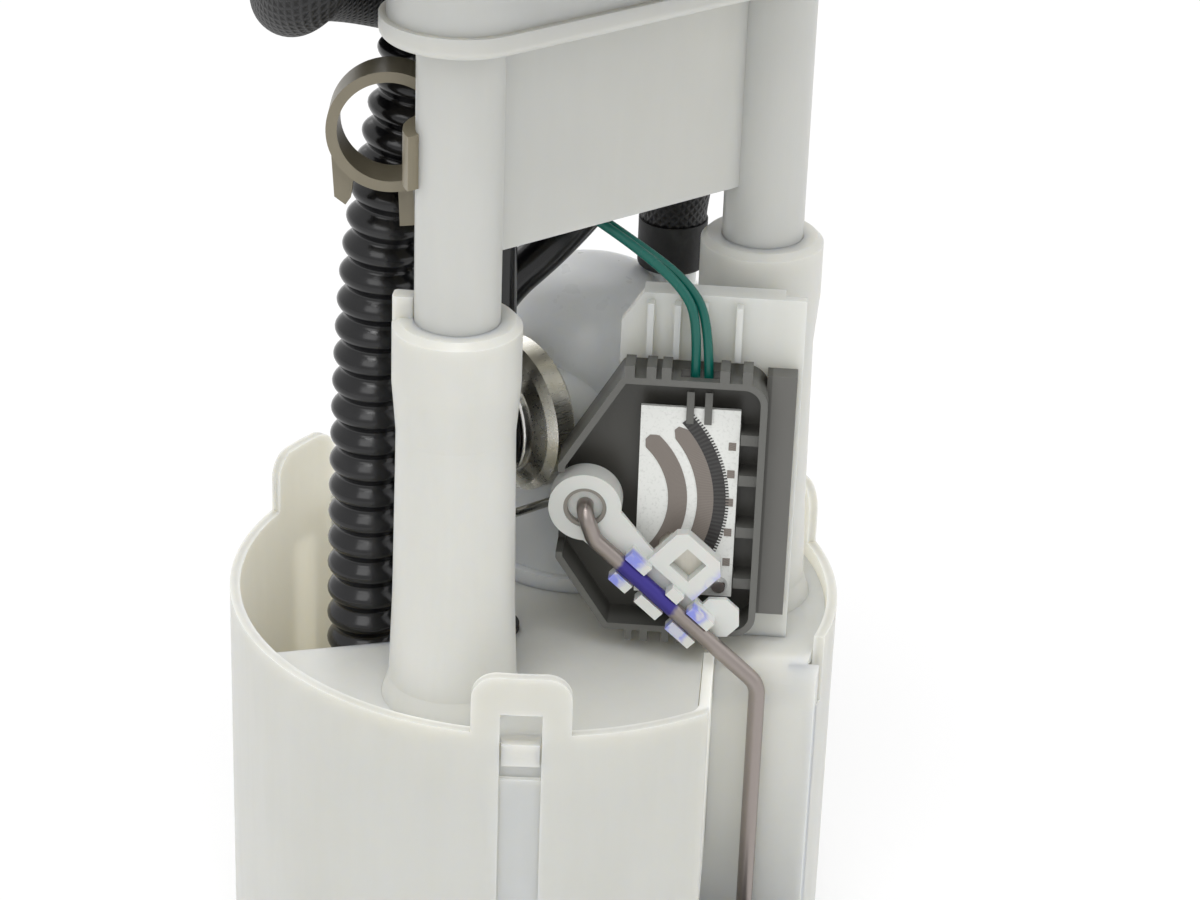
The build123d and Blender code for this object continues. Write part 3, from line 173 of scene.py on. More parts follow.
class NodeSheet:
    """A material's node tree, with short calls for its nodes."""

    def __init__(self, name: str) -> None:
        """Makes the material and its shader.

        Args:
            name: the material's name.
        """
        self.material = bpy.data.materials.new(name)
        self.material.use_nodes = True
        self.tree = self.material.node_tree
        self.shader = self.tree.nodes["Principled BSDF"]

    def add(
        self,
        kind: str,
        settings: Optional[dict] = None,
        values: Optional[dict] = None,
        output: Union[int, str] = 0,
    ) -> Sock:
        """Adds one node, as tree_node does, and gives the output that is wanted."""
        return Sock(self, tree_node(self.tree, kind, settings, values).outputs[output])

    def place(self, output: str = "Object") -> Sock:
        """The texture coordinates of that name."""
        return self.add("ShaderNodeTexCoord", output=output)

    def axis(self, vector: Sock, direction: Sequence[float]) -> Sock:
        """How far a point lies along a direction.

        Args:
            vector: the point.
            direction: the direction.

        Returns:
            The distance, in metres.
        """
        return self.add(
            "ShaderNodeVectorMath", {"operation": "DOT_PRODUCT"}, {0: vector, 1: tuple(direction)}, "Value"
        )

    def noise(self, scale: float, detail: float = 3.0, vector: Optional[Sock] = None) -> Sock:
        """Noise between 0 and 1.

        Args:
            scale: cycles in a metre.
            detail: how many octaves.
            vector: where it is read, or the object's own place.

        Returns:
            The noise.
        """
        place = vector or self.place()
        values = {"Vector": place, "Scale": scale, "Detail": detail, "Roughness": NOISE_ROUGHNESS}
        return self.add("ShaderNodeTexNoise", {}, values)

    def stretch(self, vector: Sock, scale: Sequence[float]) -> Sock:
        """Scales a vector by axis."""
        return self.add("ShaderNodeMapping", {}, {"Vector": vector, "Scale": tuple(scale)})

    def between(
        self, value: Sock, low: float, high: float, to_low: float = 0.0, to_high: float = 1.0
    ) -> Sock:
        """A smooth step from one value to another.

        Args:
            value: what is read.
            low: where the step starts.
            high: where it ends.
            to_low: the result at the start.
            to_high: the result at the end.

        Returns:
            The stepped value.
        """
        return self.add(
            "ShaderNodeMapRange",
            {"interpolation_type": "SMOOTHSTEP"},
            {"Value": value, "From Min": low, "From Max": high, "To Min": to_low, "To Max": to_high},
        )

    def blend_colour(self, factor: Number, first: Colour, second: Colour) -> Sock:
        """Mixes two colours.

        Args:
            factor: 0 for the first, 1 for the second.
            first: a colour.
            second: a colour.

        Returns:
            The mixed colour.
        """
        node = self.tree.nodes.new("ShaderNodeMix")
        node.data_type = "RGBA"
        for index, value in ((0, factor), (6, first), (7, second)):
            if isinstance(value, Sock):
                self.tree.links.new(value.socket, node.inputs[index])
            elif index:
                node.inputs[index].default_value = (*value, 1.0)
            else:
                node.inputs[index].default_value = value
        return Sock(self, node.outputs[2])

    def bump(self, height: Sock, distance: float, strength: float = 1.0) -> Sock:
        """A surface relief.

        Args:
            height: the relief, 0 to 1.
            distance: its depth, in metres.
            strength: how much of it shows.

        Returns:
            The normal.
        """
        return self.add("ShaderNodeBump", {}, {"Strength": strength, "Distance": distance, "Height": height})

    def finish(self, **values: Union[float, Sequence[float], Sock]) -> bpy.types.Material:
        """Sets the shader's inputs.

        Args:
            values: input names, with underscores for spaces, and their values.

        Returns:
            The material.
        """
        for key, value in values.items():
            socket = self.shader.inputs[key.replace("_", " ")]
            if isinstance(value, Sock):
                self.tree.links.new(value.socket, socket)
            elif socket.type == "RGBA":
                socket.default_value = (*value, 1.0)
            else:
                socket.default_value = value
        return self.material


# How far light travels inside the pale plastics: by colour, and in metres
SCATTER_RADIUS = (0.9, 0.8, 0.6)
SCATTER_SCALE = 0.007


def moulded_surface(sheet: NodeSheet, colour: Point, deep: Point) -> tuple[Sock, Sock]:
    """The colour drift and flow marks of injection moulded plastic.

    Args:
        sheet: the material.
        colour: the colour of its thin places.
        deep: the colour of its thick places.

    Returns:
        The colour, and the flow marks from 0 to 1.
    """
    place = sheet.place()
    drift = sheet.noise(26.0, 2.0, place)
    flow = sheet.noise(1.0, 2.0, sheet.stretch(place, (220.0, 220.0, 34.0)))
    mask = sheet.between(drift * 0.75 + flow * 0.25, 0.36, 0.68)
    return sheet.blend_colour(mask, colour, deep), flow


@dataclass(frozen=True)
class MouldedPlastic:
    """Injection moulded plastic: soft colour drift, faint flow marks and a fine grain."""

    name: str
    colour: Point
    deep: Point
    roughness: float = 0.42
    glow: float = 0.0
    grain: float = 0.00002
    wave: float = 0.00012

    def build(self) -> bpy.types.Material:
        """Makes the material."""
        sheet = NodeSheet(self.name)
        colour, flow = moulded_surface(sheet, self.colour, self.deep)
        fine = sheet.noise(5200.0, 2.0)
        rough = self.roughness + (flow - 0.5) * 0.16
        height = fine * (self.grain / self.wave) + flow
        values: dict = {
            "Base_Color": colour,
            "Roughness": rough,
            "Normal": sheet.bump(height, self.wave, 0.6),
            "IOR": 1.48,
        }
        if self.glow:
            values["Subsurface_Weight"] = self.glow
            values["Subsurface_Radius"] = SCATTER_RADIUS
            values["Subsurface_Scale"] = SCATTER_SCALE
        return sheet.finish(**values)


@dataclass(frozen=True)
class PaintedGlowBucket:
    """The bucket's plastic: it scatters light inside, and a painted glow on its inner wall keeps that wall
    pale.
    """

    name: str = "bucket_plastic"
    colour: Point = (0.61, 0.61, 0.575)
    deep: Point = (0.585, 0.585, 0.545)
    inner_radius: float = 0.0577
    outer_radius: float = 0.0590
    rim_z: float = 0.0800
    floor_z: float = 0.0100
    # Strength and colour of the painted glow on the inner wall: emission that stands in for light coming in
    # across the wall
    painted_glow_strength: float = 0.28
    glow: Point = (0.96, 0.96, 0.90)

    def build(self) -> bpy.types.Material:
        """Makes the material."""
        sheet = NodeSheet(self.name)
        place = sheet.place()
        colour, flow = moulded_surface(sheet, self.colour, self.deep)
        east = sheet.axis(place, (1.0, 0.0, 0.0))
        north = sheet.axis(place, (0.0, 1.0, 0.0))
        height = sheet.axis(place, (0.0, 0.0, 1.0))
        radius = (east * east + north * north).power(0.5)
        # Painted glow: the inner wall, from the floor up to the rim, is given emission as if light came in
        # across the wall
        inside = sheet.between(radius, self.inner_radius, self.outer_radius, 1.0, 0.0)
        painted_glow_mask = inside * sheet.between(height, self.floor_z, self.rim_z)
        return sheet.finish(
            Base_Color=colour,
            Roughness=0.38 + (flow - 0.5) * 0.16,
            Normal=sheet.bump(flow, 0.00012, 0.6),
            IOR=1.48,
            Subsurface_Weight=0.9,
            Subsurface_Radius=SCATTER_RADIUS,
            Subsurface_Scale=SCATTER_SCALE,
            # The painted glow, as emission on the inner wall
            Emission_Color=sheet.blend_colour(painted_glow_mask, (0.0, 0.0, 0.0), self.glow),
            Emission_Strength=self.painted_glow_strength,
        )


@dataclass(frozen=True)
class Metal:
    """Drawn, rolled or plated metal, with streaks along an axis and faint stains."""

    name: str
    colour: Point
    stain: Point
    roughness: float = 0.3
    streak: Point = (400.0, 400.0, 40.0)
    metallic: float = 1.0

    def build(self) -> bpy.types.Material:
        """Makes the material."""
        sheet = NodeSheet(self.name)
        place = sheet.place()
        streaks = sheet.noise(6.0, 4.0, sheet.stretch(place, self.streak))
        stains = sheet.noise(120.0, 4.0, place)
        colour = sheet.blend_colour(sheet.between(stains, 0.42, 0.7), self.colour, self.stain)
        return sheet.finish(
            Base_Color=colour,
            Metallic=self.metallic,
            Roughness=self.roughness + (streaks - 0.5) * 0.3 + (stains - 0.5) * 0.12,
            Normal=sheet.bump(streaks, 0.00003, 0.5),
        )


# The way that the arm wire runs at rest
WIRE_WAY = FACE * 0.743 - Vector((0.0, 0.0, 0.669))


@dataclass(frozen=True)
class ArmWire:
    """The float arm's steel wire, with the marking dye on its middle."""

    name: str = "arm_wire_steel"
    steel: Point = (0.34, 0.30, 0.28)
    dye: Point = (0.022, 0.012, 0.24)

    def build(self) -> bpy.types.Material:
        """Makes the material."""
        sheet = NodeSheet(self.name)
        place = sheet.place()
        along = sheet.axis(place, WIRE_WAY)
        fine = sheet.noise(900.0, 4.0, place)
        edge = sheet.noise(320.0, 2.0, place)
        middle = (along + 0.0463 - (edge - 0.5) * 0.003).magnitude()
        dyed = sheet.between(middle, 0.0064, 0.0074, 0.94, 0.0)
        colour = sheet.blend_colour(dyed, self.steel, self.dye)
        return sheet.finish(
            Base_Color=colour,
            Metallic=0.9 - dyed * 0.6,
            Roughness=0.34 + (fine - 0.5) * 0.2,
            Normal=sheet.bump(fine, 0.00002, 0.5),
        )


@dataclass(frozen=True)
class DyedClips:
    """The arm holder's white plastic, with traces of the marking dye where the wire is clipped."""

    name: str = "holder_white"
    white: Point = (0.68, 0.69, 0.66)
    dye: Point = (0.16, 0.20, 0.78)

    def build(self) -> bpy.types.Material:
        """Makes the material."""
        sheet = NodeSheet(self.name)
        place = sheet.place()
        along = sheet.axis(place, WIRE_WAY)
        out = sheet.axis(place, OUT)
        edge = sheet.noise(380.0, 2.0, place)
        low = (along + 0.0362).magnitude()
        high = (along + 0.0527).magnitude()
        spots = sheet.between(low.least(high) + (edge - 0.5) * 0.003, 0.0016, 0.0034, 0.8, 0.0)
        dyed = spots * sheet.between(out, 0.0230, 0.0245) * sheet.between(edge, 0.38, 0.56, 0.25, 1.0)
        colour = sheet.blend_colour(dyed, self.white, self.dye)
        return sheet.finish(
            Base_Color=colour,
            Roughness=0.36 + (edge - 0.5) * 0.1,
            Normal=sheet.bump(edge, 0.00003, 0.4),
            Subsurface_Weight=0.15,
            Subsurface_Scale=0.002,
        )


@dataclass(frozen=True)
class SenderTray:
    """The sender's grey tray: pale on its lip and clips, darker on the strip, with painted shade darkening
    its recess.
    """

    name: str = "sender_grey"
    lip: Point = (0.125, 0.125, 0.115)
    strip: Point = (0.135, 0.133, 0.122)
    # Colour of the painted shade in the tray's recess
    painted_hollow_shade: Point = (0.070, 0.068, 0.060)
    strip_u: float = 44.6
    hollow_n: float = 15.2
    lip_n: float = 18.6

    def build(self) -> bpy.types.Material:
        """Makes the material."""
        sheet = NodeSheet(self.name)
        place = sheet.place()
        along = sheet.axis(place, FACE)
        out = sheet.axis(place, OUT)
        grain = sheet.noise(2600.0, 3.0, place)
        cloud = sheet.noise(90.0, 2.0, place)
        # Painted shade: the colour darkens from the lip into the recess, where shade falls
        raised = sheet.between(out, self.hollow_n * MM, self.lip_n * MM)
        tray = sheet.blend_colour(raised, self.painted_hollow_shade, self.lip)
        beside = sheet.between(along, self.strip_u * MM, (self.strip_u + 0.3) * MM)
        colour = sheet.blend_colour(beside, tray, self.strip)
        return sheet.finish(
            Base_Color=colour,
            Roughness=0.36 + (cloud - 0.5) * 0.12,
            Normal=sheet.bump(grain, 0.00002, 0.5),
        )


@dataclass(frozen=True)
class TrackInk:
    """The printed tracks, with fine lines that run out from the pivot."""

    name: str
    colour: Point
    line: Point
    pivot: tuple[float, float] = (11.0, 110.0)
    lines: float = 420.0
    depth: float = 0.75

    def build(self) -> bpy.types.Material:
        """Makes the material."""
        sheet = NodeSheet(self.name)
        place = sheet.place()
        run = sheet.axis(place, FACE) - self.pivot[0] * MM
        rise = sheet.axis(place, (0.0, 0.0, 1.0)) - self.pivot[1] * MM
        stripe = (rise.angle(run) * self.lines).sine() * 0.5 + 0.5
        speck = sheet.noise(2400.0, 3.0, place)
        mask = sheet.between(stripe * 0.8 + speck * 0.2, 0.3, 0.7, 0.0, self.depth)
        return sheet.finish(
            Base_Color=sheet.blend_colour(mask, self.colour, self.line),
            Roughness=0.42 + (speck - 0.5) * 0.1,
            Normal=sheet.bump(stripe, 0.00002, 0.5),
        )


@dataclass(frozen=True)
class BraidedCover:
    """A woven black cover over a hose, read along and around it."""

    name: str = "braided_cover"
    thread: Point = (0.016, 0.016, 0.017)
    gap: Point = (0.002, 0.002, 0.002)
    strand: float = 0.0013

    def build(self) -> bpy.types.Material:
        """Makes the material."""
        sheet = NodeSheet(self.name)
        place = sheet.place("UV")
        turn = 2.0 * math.pi / self.strand
        one = sheet.axis(place, (0.72, 0.69, 0.0)) * turn
        two = sheet.axis(place, (0.72, -0.69, 0.0)) * turn
        weave = (one.sine() * 0.5 + 0.5).most(two.sine() * 0.5 + 0.5)
        fuzz = sheet.noise(2600.0, 3.0, sheet.place())
        height = weave * 0.8 + fuzz * 0.2
        colour = sheet.blend_colour(sheet.between(height, 0.35, 0.8), self.gap, self.thread)
        return sheet.finish(
            Base_Color=colour,
            Roughness=0.42 + fuzz * 0.25,
            Normal=sheet.bump(height, 0.0004, 0.9),
        )


@dataclass(frozen=True)
class SmoothBlack:
    """Black tube or rubber, with a little dust and bloom."""

    name: str
    colour: Point = (0.012, 0.012, 0.014)
    dust: Point = (0.05, 0.05, 0.055)
    roughness: float = 0.22
    relief: float = 0.00003

    def build(self) -> bpy.types.Material:
        """Makes the material."""
        sheet = NodeSheet(self.name)
        place = sheet.place()
        cloud = sheet.noise(160.0, 4.0, place)
        fine = sheet.noise(2400.0, 3.0, place)
        colour = sheet.blend_colour(sheet.between(cloud, 0.5, 0.8), self.colour, self.dust)
        return sheet.finish(
            Base_Color=colour,
            Roughness=self.roughness + (cloud - 0.4) * 0.3,
            Normal=sheet.bump(fine, self.relief, 0.5),
        )


@dataclass(frozen=True)
class FilterPaper:
    """Creamy filter paper with a fibre grain."""

    name: str = "filter_paper"
    colour: Point = (0.74, 0.66, 0.46)
    fibre: Point = (0.60, 0.52, 0.34)

    def build(self) -> bpy.types.Material:
        """Makes the material."""
        sheet = NodeSheet(self.name)
        fibres = sheet.noise(1.0, 5.0, sheet.stretch(sheet.place(), (900.0, 900.0, 2600.0)))
        colour = sheet.blend_colour(sheet.between(fibres, 0.4, 0.7), self.colour, self.fibre)
        return sheet.finish(Base_Color=colour, Roughness=0.85, Normal=sheet.bump(fibres, 0.00008, 0.8))


@dataclass(frozen=True)
class FloatFoam:
    """Black closed-cell foam with open cells on its skin."""

    name: str = "float_foam"
    colour: Point = (0.035, 0.035, 0.036)
    pit: Point = (0.012, 0.012, 0.012)

    def build(self) -> bpy.types.Material:
        """Makes the material."""
        sheet = NodeSheet(self.name)
        cells = sheet.add(
            "ShaderNodeTexVoronoi", {}, {"Vector": sheet.place(), "Scale": 1500.0}, "Distance"
        )
        colour = sheet.blend_colour(sheet.between(cells, 0.25, 0.6), self.pit, self.colour)
        return sheet.finish(Base_Color=colour, Roughness=0.8, Normal=sheet.bump(cells, 0.0002, 0.7))


@dataclass(frozen=True)
class Ceramic:
    """The fired card under the tracks."""

    name: str = "card_ceramic"
    colour: Point = (0.82, 0.83, 0.80)
    speck: Point = (0.70, 0.71, 0.68)

    def build(self) -> bpy.types.Material:
        """Makes the material."""
        sheet = NodeSheet(self.name)
        grain = sheet.noise(1800.0, 4.0)
        colour = sheet.blend_colour(sheet.between(grain, 0.5, 0.75), self.colour, self.speck)
        return sheet.finish(
            Base_Color=colour,
            Roughness=0.38 + (grain - 0.5) * 0.2,
            Normal=sheet.bump(grain, 0.00001),
        )


class Finishes:
    """Every finish of the module, built once."""

    def __init__(self) -> None:
        """Builds the materials."""
        built = [
            MouldedPlastic("natural_plastic", (0.66, 0.66, 0.625), (0.635, 0.635, 0.595), 0.38, 0.9),
            PaintedGlowBucket(),
            MouldedPlastic("post_plastic", (0.57, 0.575, 0.55), (0.545, 0.55, 0.525), 0.34, 0.6),
            MouldedPlastic("bracket_white", (0.68, 0.69, 0.66), (0.64, 0.65, 0.62), 0.32, 0.6),
            MouldedPlastic("housing_white", (0.86, 0.87, 0.84), (0.82, 0.83, 0.80), 0.30, 0.7, wave=0.0002),
            SenderTray(),
            MouldedPlastic("bush_grey", (0.26, 0.24, 0.21), (0.20, 0.185, 0.165), 0.35),
            MouldedPlastic("cover_black", (0.030, 0.030, 0.032), (0.022, 0.022, 0.024), 0.45),
            MouldedPlastic("clip_tan", (0.255, 0.225, 0.160), (0.215, 0.19, 0.135), 0.36),
            MouldedPlastic("jet_grey", (0.20, 0.205, 0.21), (0.17, 0.175, 0.18), 0.5),
            MouldedPlastic(
                "lead_green", (0.0, 0.125, 0.095), (0.0, 0.095, 0.075), 0.28, grain=0.00001, wave=0.00004
            ),
            TrackInk("track_grey", (0.235, 0.205, 0.18), (0.165, 0.14, 0.125), depth=0.6),
            TrackInk("track_dark", (0.050, 0.048, 0.047), (0.022, 0.021, 0.021), lines=190.0),
            MouldedPlastic("brush_carbon", (0.02, 0.02, 0.02), (0.03, 0.03, 0.03), 0.6),
            Metal("regulator_plating", (0.74, 0.72, 0.66), (0.60, 0.57, 0.46), 0.30, (60.0, 400.0, 400.0)),
            Metal("bright_steel", (0.72, 0.71, 0.69), (0.60, 0.59, 0.56), 0.14),
            Metal("pump_steel", (0.56, 0.56, 0.55), (0.45, 0.45, 0.44), 0.32),
            Metal("spring_steel", (0.34, 0.34, 0.35), (0.24, 0.23, 0.22), 0.35),
            Metal("contact_brass", (0.74, 0.56, 0.27), (0.55, 0.40, 0.20), 0.30),
            Metal("contact_nickel", (0.62, 0.60, 0.54), (0.54, 0.52, 0.46), 0.45),
            Metal("magnet_ferrite", (0.06, 0.06, 0.065), (0.04, 0.04, 0.042), 0.55, metallic=0.3),
            Metal("solder", (0.66, 0.66, 0.67), (0.55, 0.55, 0.56), 0.18),
            SmoothBlack("gloss_tube", (0.005, 0.005, 0.006), (0.014, 0.014, 0.015), 0.16),
            SmoothBlack("soft_rubber", (0.02, 0.02, 0.021), (0.05, 0.05, 0.05), 0.6, 0.0001),
            ArmWire(),
            DyedClips(),
            BraidedCover(),
            FilterPaper(),
            FloatFoam(),
            Ceramic(),
        ]
        self.by_name = {finish.name: finish.build() for finish in built}

    def __getitem__(self, name: str) -> bpy.types.Material:
        """The material of that name."""
        return self.by_name[name]


NODE_FINISH = {
    "natural_plastic": ("reservoir_deck", "pump_cradle"),
    "bucket_plastic": ("reservoir_bucket",),
    "bracket_white": ("sender_bracket",),
    "post_plastic": ("guide_frame",),
    "housing_white": ("filter_housing", "pump_inlet_cap", "pump_chamber", "pump_top_cap"),
    "sender_grey": ("sender_housing", "sender_terminals", "harness_plug"),
    "cover_black": ("flange_cover", "outlet_fitting", "return_fitting", "vent_fitting"),
    "clip_tan": ("hose_clip",),
    "jet_grey": ("jet_pump", "pump_impeller"),
    "regulator_plating": ("regulator_can",),
    "bright_steel": ("regulator_ring", "regulator_clip", "float_keeper", "pump_shaft"),
    "pump_steel": ("pump_can", "pump_armature"),
    "contact_brass": ("pump_bearings", "pump_terminals", "flange_terminals", "pump_commutator"),
    "contact_nickel": ("wiper_contact",),
    "bush_grey": ("pivot_bush",),
    "magnet_ferrite": ("pump_magnets",),
    "solder": ("solder_joint",),
    "soft_rubber": (
        "deck_grommets", "flange_seal", "regulator_seal", "floor_valve", "pump_cushion", "hose_boot"
    ),
    "brush_carbon": ("pump_brushes",),
    "arm_wire_steel": ("float_wire",),
    "holder_white": ("arm_holder",),
    "filter_paper": ("filter_element", "strainer"),
    "float_foam": ("fuel_float",),
    "card_ceramic": ("resistor_card",),
}


def dress_nodes(finishes: Finishes) -> None:
    """Gives each carried-over node its finish.

    Args:
        finishes: the built materials.
    """
    for finish, nodes in NODE_FINISH.items():
        for name in nodes:
            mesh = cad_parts[name].data
            mesh.materials.clear()
            mesh.materials.append(finishes[finish])
            LOG.info("dressed %s with %s", name, finish)


def route_samples(points: Sequence[Point]) -> list[Vector]:
    """Reads a smooth line from a route's points.

    Args:
        points: the route, in millimetres.

    Returns:
        Points along the line, in metres.
    """
    curve = bpy.data.curves.new("route", "CURVE")
    curve.dimensions = "3D"
    spline = curve.splines.new("NURBS")
    spline.points.add(len(points) - 1)
    for item, (x, y, z) in zip(spline.points, points):
        item.co = (x * MM, y * MM, z * MM, 1.0)
    spline.order_u = 3
    spline.use_endpoint_u = True
    spline.resolution_u = SAMPLES_PER_SPAN
    holder = placed("route", curve)
    graph = bpy.context.evaluated_depsgraph_get()
    mesh = bpy.data.meshes.new_from_object(holder.evaluated_get(graph))
    found = [vertex.co.copy() for vertex in mesh.vertices]
    bpy.data.objects.remove(holder)
    bpy.data.meshes.remove(mesh)
    bpy.data.curves.remove(curve)
    return found


def even_samples(line: Sequence[Vector], step: float) -> list[Vector]:
    """Spaces a line's points evenly.

    Args:
        line: the points.
        step: the wanted distance, in metres.

    Returns:
        Evenly spaced points, both ends kept.
    """
    lengths = [0.0]
    for before, after in zip(line, line[1:]):
        lengths.append(lengths[-1] + (after - before).length)
    count = max(2, round(lengths[-1] / step))
    result = []
    span = 0
    for index in range(count + 1):
        target = lengths[-1] * index / count
        while span < len(line) - 2 and lengths[span + 1] < target:
            span += 1
        share = (target - lengths[span]) / max(lengths[span + 1] - lengths[span], 1e-9)
        result.append(line[span].lerp(line[span + 1], min(max(share, 0.0), 1.0)))
    return result


def placed(name: str, data: bpy.types.ID) -> bpy.types.Object:
    """A new object in the scene, made of that data."""
    item = bpy.data.objects.new(name, data)
    bpy.context.scene.collection.objects.link(item)
    return item


def plain_piece(
    name: str, vertices: Sequence, faces: Sequence, material: bpy.types.Material
) -> bpy.types.Object:
    """A piece made of points and faces, with one finish.

    Args:
        name: its name.
        vertices: its points, in metres.
        faces: the numbers of each face's points.
        material: its finish.

    Returns:
        The piece.
    """
    mesh = bpy.data.meshes.new(name)
    mesh.from_pydata(vertices, [], faces)
    mesh.materials.append(material)
    return placed(name, mesh)


def tube_piece(
    name: str,
    line: Sequence[Vector],
    radius: float,
    material: bpy.types.Material,
    sides: int = 32,
) -> bpy.types.Object:
    """A closed tube along a line, its UV map in metres around and along it.

    Args:
        name: the piece's name.
        line: points along its middle, in metres.
        radius: its radius, in metres.
        material: its finish.
        sides: faces around it.

    Returns:
        The piece.
    """
    vertices: list[Vector] = []
    faces: list[Sequence[int]] = []
    corners: list[tuple[float, float]] = []
    final = len(line) - 1
    tangents = [(line[min(i + 1, final)] - line[max(i - 1, 0)]).normalized() for i in range(len(line))]
    across = tangents[0].orthogonal().normalized()
    run = 0.0
    lengths = []
    for index, (centre, tangent) in enumerate(zip(line, tangents)):
        if index:
            run += (centre - line[index - 1]).length
        lengths.append(run)
        across = (across - tangent * across.dot(tangent)).normalized()
        beside = tangent.cross(across)
        for side in range(sides):
            turn = 2.0 * math.pi * side / sides
            vertices.append(centre + (across * math.cos(turn) + beside * math.sin(turn)) * radius)
    strip = 2.0 * math.pi * radius / sides
    for ring in range(len(line) - 1):
        for side in range(sides):
            after = (side + 1) % sides
            a, b = ring * sides + side, ring * sides + after
            faces.append((a, b, b + sides, a + sides))
            near, far = strip * side, strip * (side + 1)
            low, high = lengths[ring], lengths[ring + 1]
            corners += [(near, low), (far, low), (far, high), (near, high)]
    start, end = len(vertices), len(vertices) + 1
    vertices += [line[0], line[-1]]
    last = final * sides
    for side in range(sides):
        after = (side + 1) % sides
        faces.append((start, after, side))
        faces.append((end, last + side, last + after))
        corners += [(0.0, 0.0)] * 6
    piece = plain_piece(name, vertices, faces, material)
    uv = piece.data.uv_layers.new(name="UVMap")
    for item, corner in zip(uv.data, corners):
        item.uv = corner
    for polygon in piece.data.polygons:
        polygon.use_smooth = len(polygon.vertices) == 4
    return piece


GeometryValue = Union[float, bpy.types.NodeSocket]


class GeometrySheet:
    """A geometry node tree with named inputs, run once and turned into a plain mesh."""

    def __init__(self, name: str, inputs: dict[str, float]) -> None:
        """Makes the tree.

        Args:
            name: its name.
            inputs: its named sizes.
        """
        self.tree = bpy.data.node_groups.new(name, "GeometryNodeTree")
        self.tree.interface.new_socket("Geometry", in_out="INPUT", socket_type="NodeSocketGeometry")
        self.tree.interface.new_socket("Geometry", in_out="OUTPUT", socket_type="NodeSocketGeometry")
        self.values: dict[str, float] = {}
        for key, value in inputs.items():
            item = self.tree.interface.new_socket(key, in_out="INPUT", socket_type="NodeSocketFloat")
            self.values[item.identifier] = value
        self.entry = self.tree.nodes.new("NodeGroupInput")
        self.exit = self.tree.nodes.new("NodeGroupOutput")

    def size(self, name: str) -> bpy.types.NodeSocket:
        """The named input."""
        return self.entry.outputs[name]

    def add(
        self, kind: str, settings: Optional[dict] = None, values: Optional[dict] = None
    ) -> bpy.types.Node:
        """Adds one node, as tree_node does."""
        return tree_node(self.tree, kind, settings, values)

    def maths(
        self, operation: str, first: GeometryValue, second: GeometryValue = 0.0
    ) -> bpy.types.NodeSocket:
        """One Math node on two values."""
        return self.add("ShaderNodeMath", {"operation": operation}, {0: first, 1: second}).outputs[0]

    def sweep(self, curve: bpy.types.NodeSocket, sides: int, radius: GeometryValue) -> bpy.types.Node:
        """Sweeps a circle along a curve, with closed ends."""
        circle = self.add("GeometryNodeCurvePrimitiveCircle", {}, {"Resolution": sides, "Radius": radius})
        values = {"Curve": curve, "Profile Curve": circle.outputs[0], "Fill Caps": True}
        return self.add("GeometryNodeCurveToMesh", {}, values)

    def run(
        self,
        piece_name: str,
        result: bpy.types.NodeSocket,
        material: bpy.types.Material,
        source: bpy.types.ID,
    ) -> bpy.types.Object:
        """Ends the tree and turns its result into a piece.

        Args:
            piece_name: the name of the piece.
            result: the geometry that the tree makes.
            material: the piece's finish.
            source: the mesh or curve that the tree starts from.

        Returns:
            The piece, a plain mesh with no modifier.
        """
        real = self.add("GeometryNodeRealizeInstances", {}, {0: result})
        dressed = self.add("GeometryNodeSetMaterial", {}, {"Geometry": real.outputs[0], "Material": material})
        self.tree.links.new(dressed.outputs[0], self.exit.inputs[0])
        holder = placed(piece_name + "_maker", source)
        modifier = holder.modifiers.new("make", "NODES")
        modifier.node_group = self.tree
        for identifier, value in self.values.items():
            modifier[identifier] = value
        bpy.context.view_layer.update()
        graph = bpy.context.evaluated_depsgraph_get()
        mesh = bpy.data.meshes.new_from_object(holder.evaluated_get(graph))
        holder.modifiers.remove(modifier)
        bpy.data.objects.remove(holder)
        mesh.name = piece_name
        if not mesh.materials:
            mesh.materials.append(material)
        return placed(piece_name, mesh)


def empty_mesh(name: str) -> bpy.types.Mesh:
    """A mesh with nothing in it, for trees that start from nothing."""
    return bpy.data.meshes.new(name)


def line_curve(name: str, line: Sequence[Vector]) -> bpy.types.Curve:
    """A curve that joins the points of a line.

    Args:
        name: its name.
        line: the points, in metres.

    Returns:
        The curve's data.
    """
    curve = bpy.data.curves.new(name, "CURVE")
    curve.dimensions = "3D"
    spline = curve.splines.new("POLY")
    spline.points.add(len(line) - 1)
    for item, point in zip(spline.points, line):
        item.co = (*point, 1.0)
    return curve


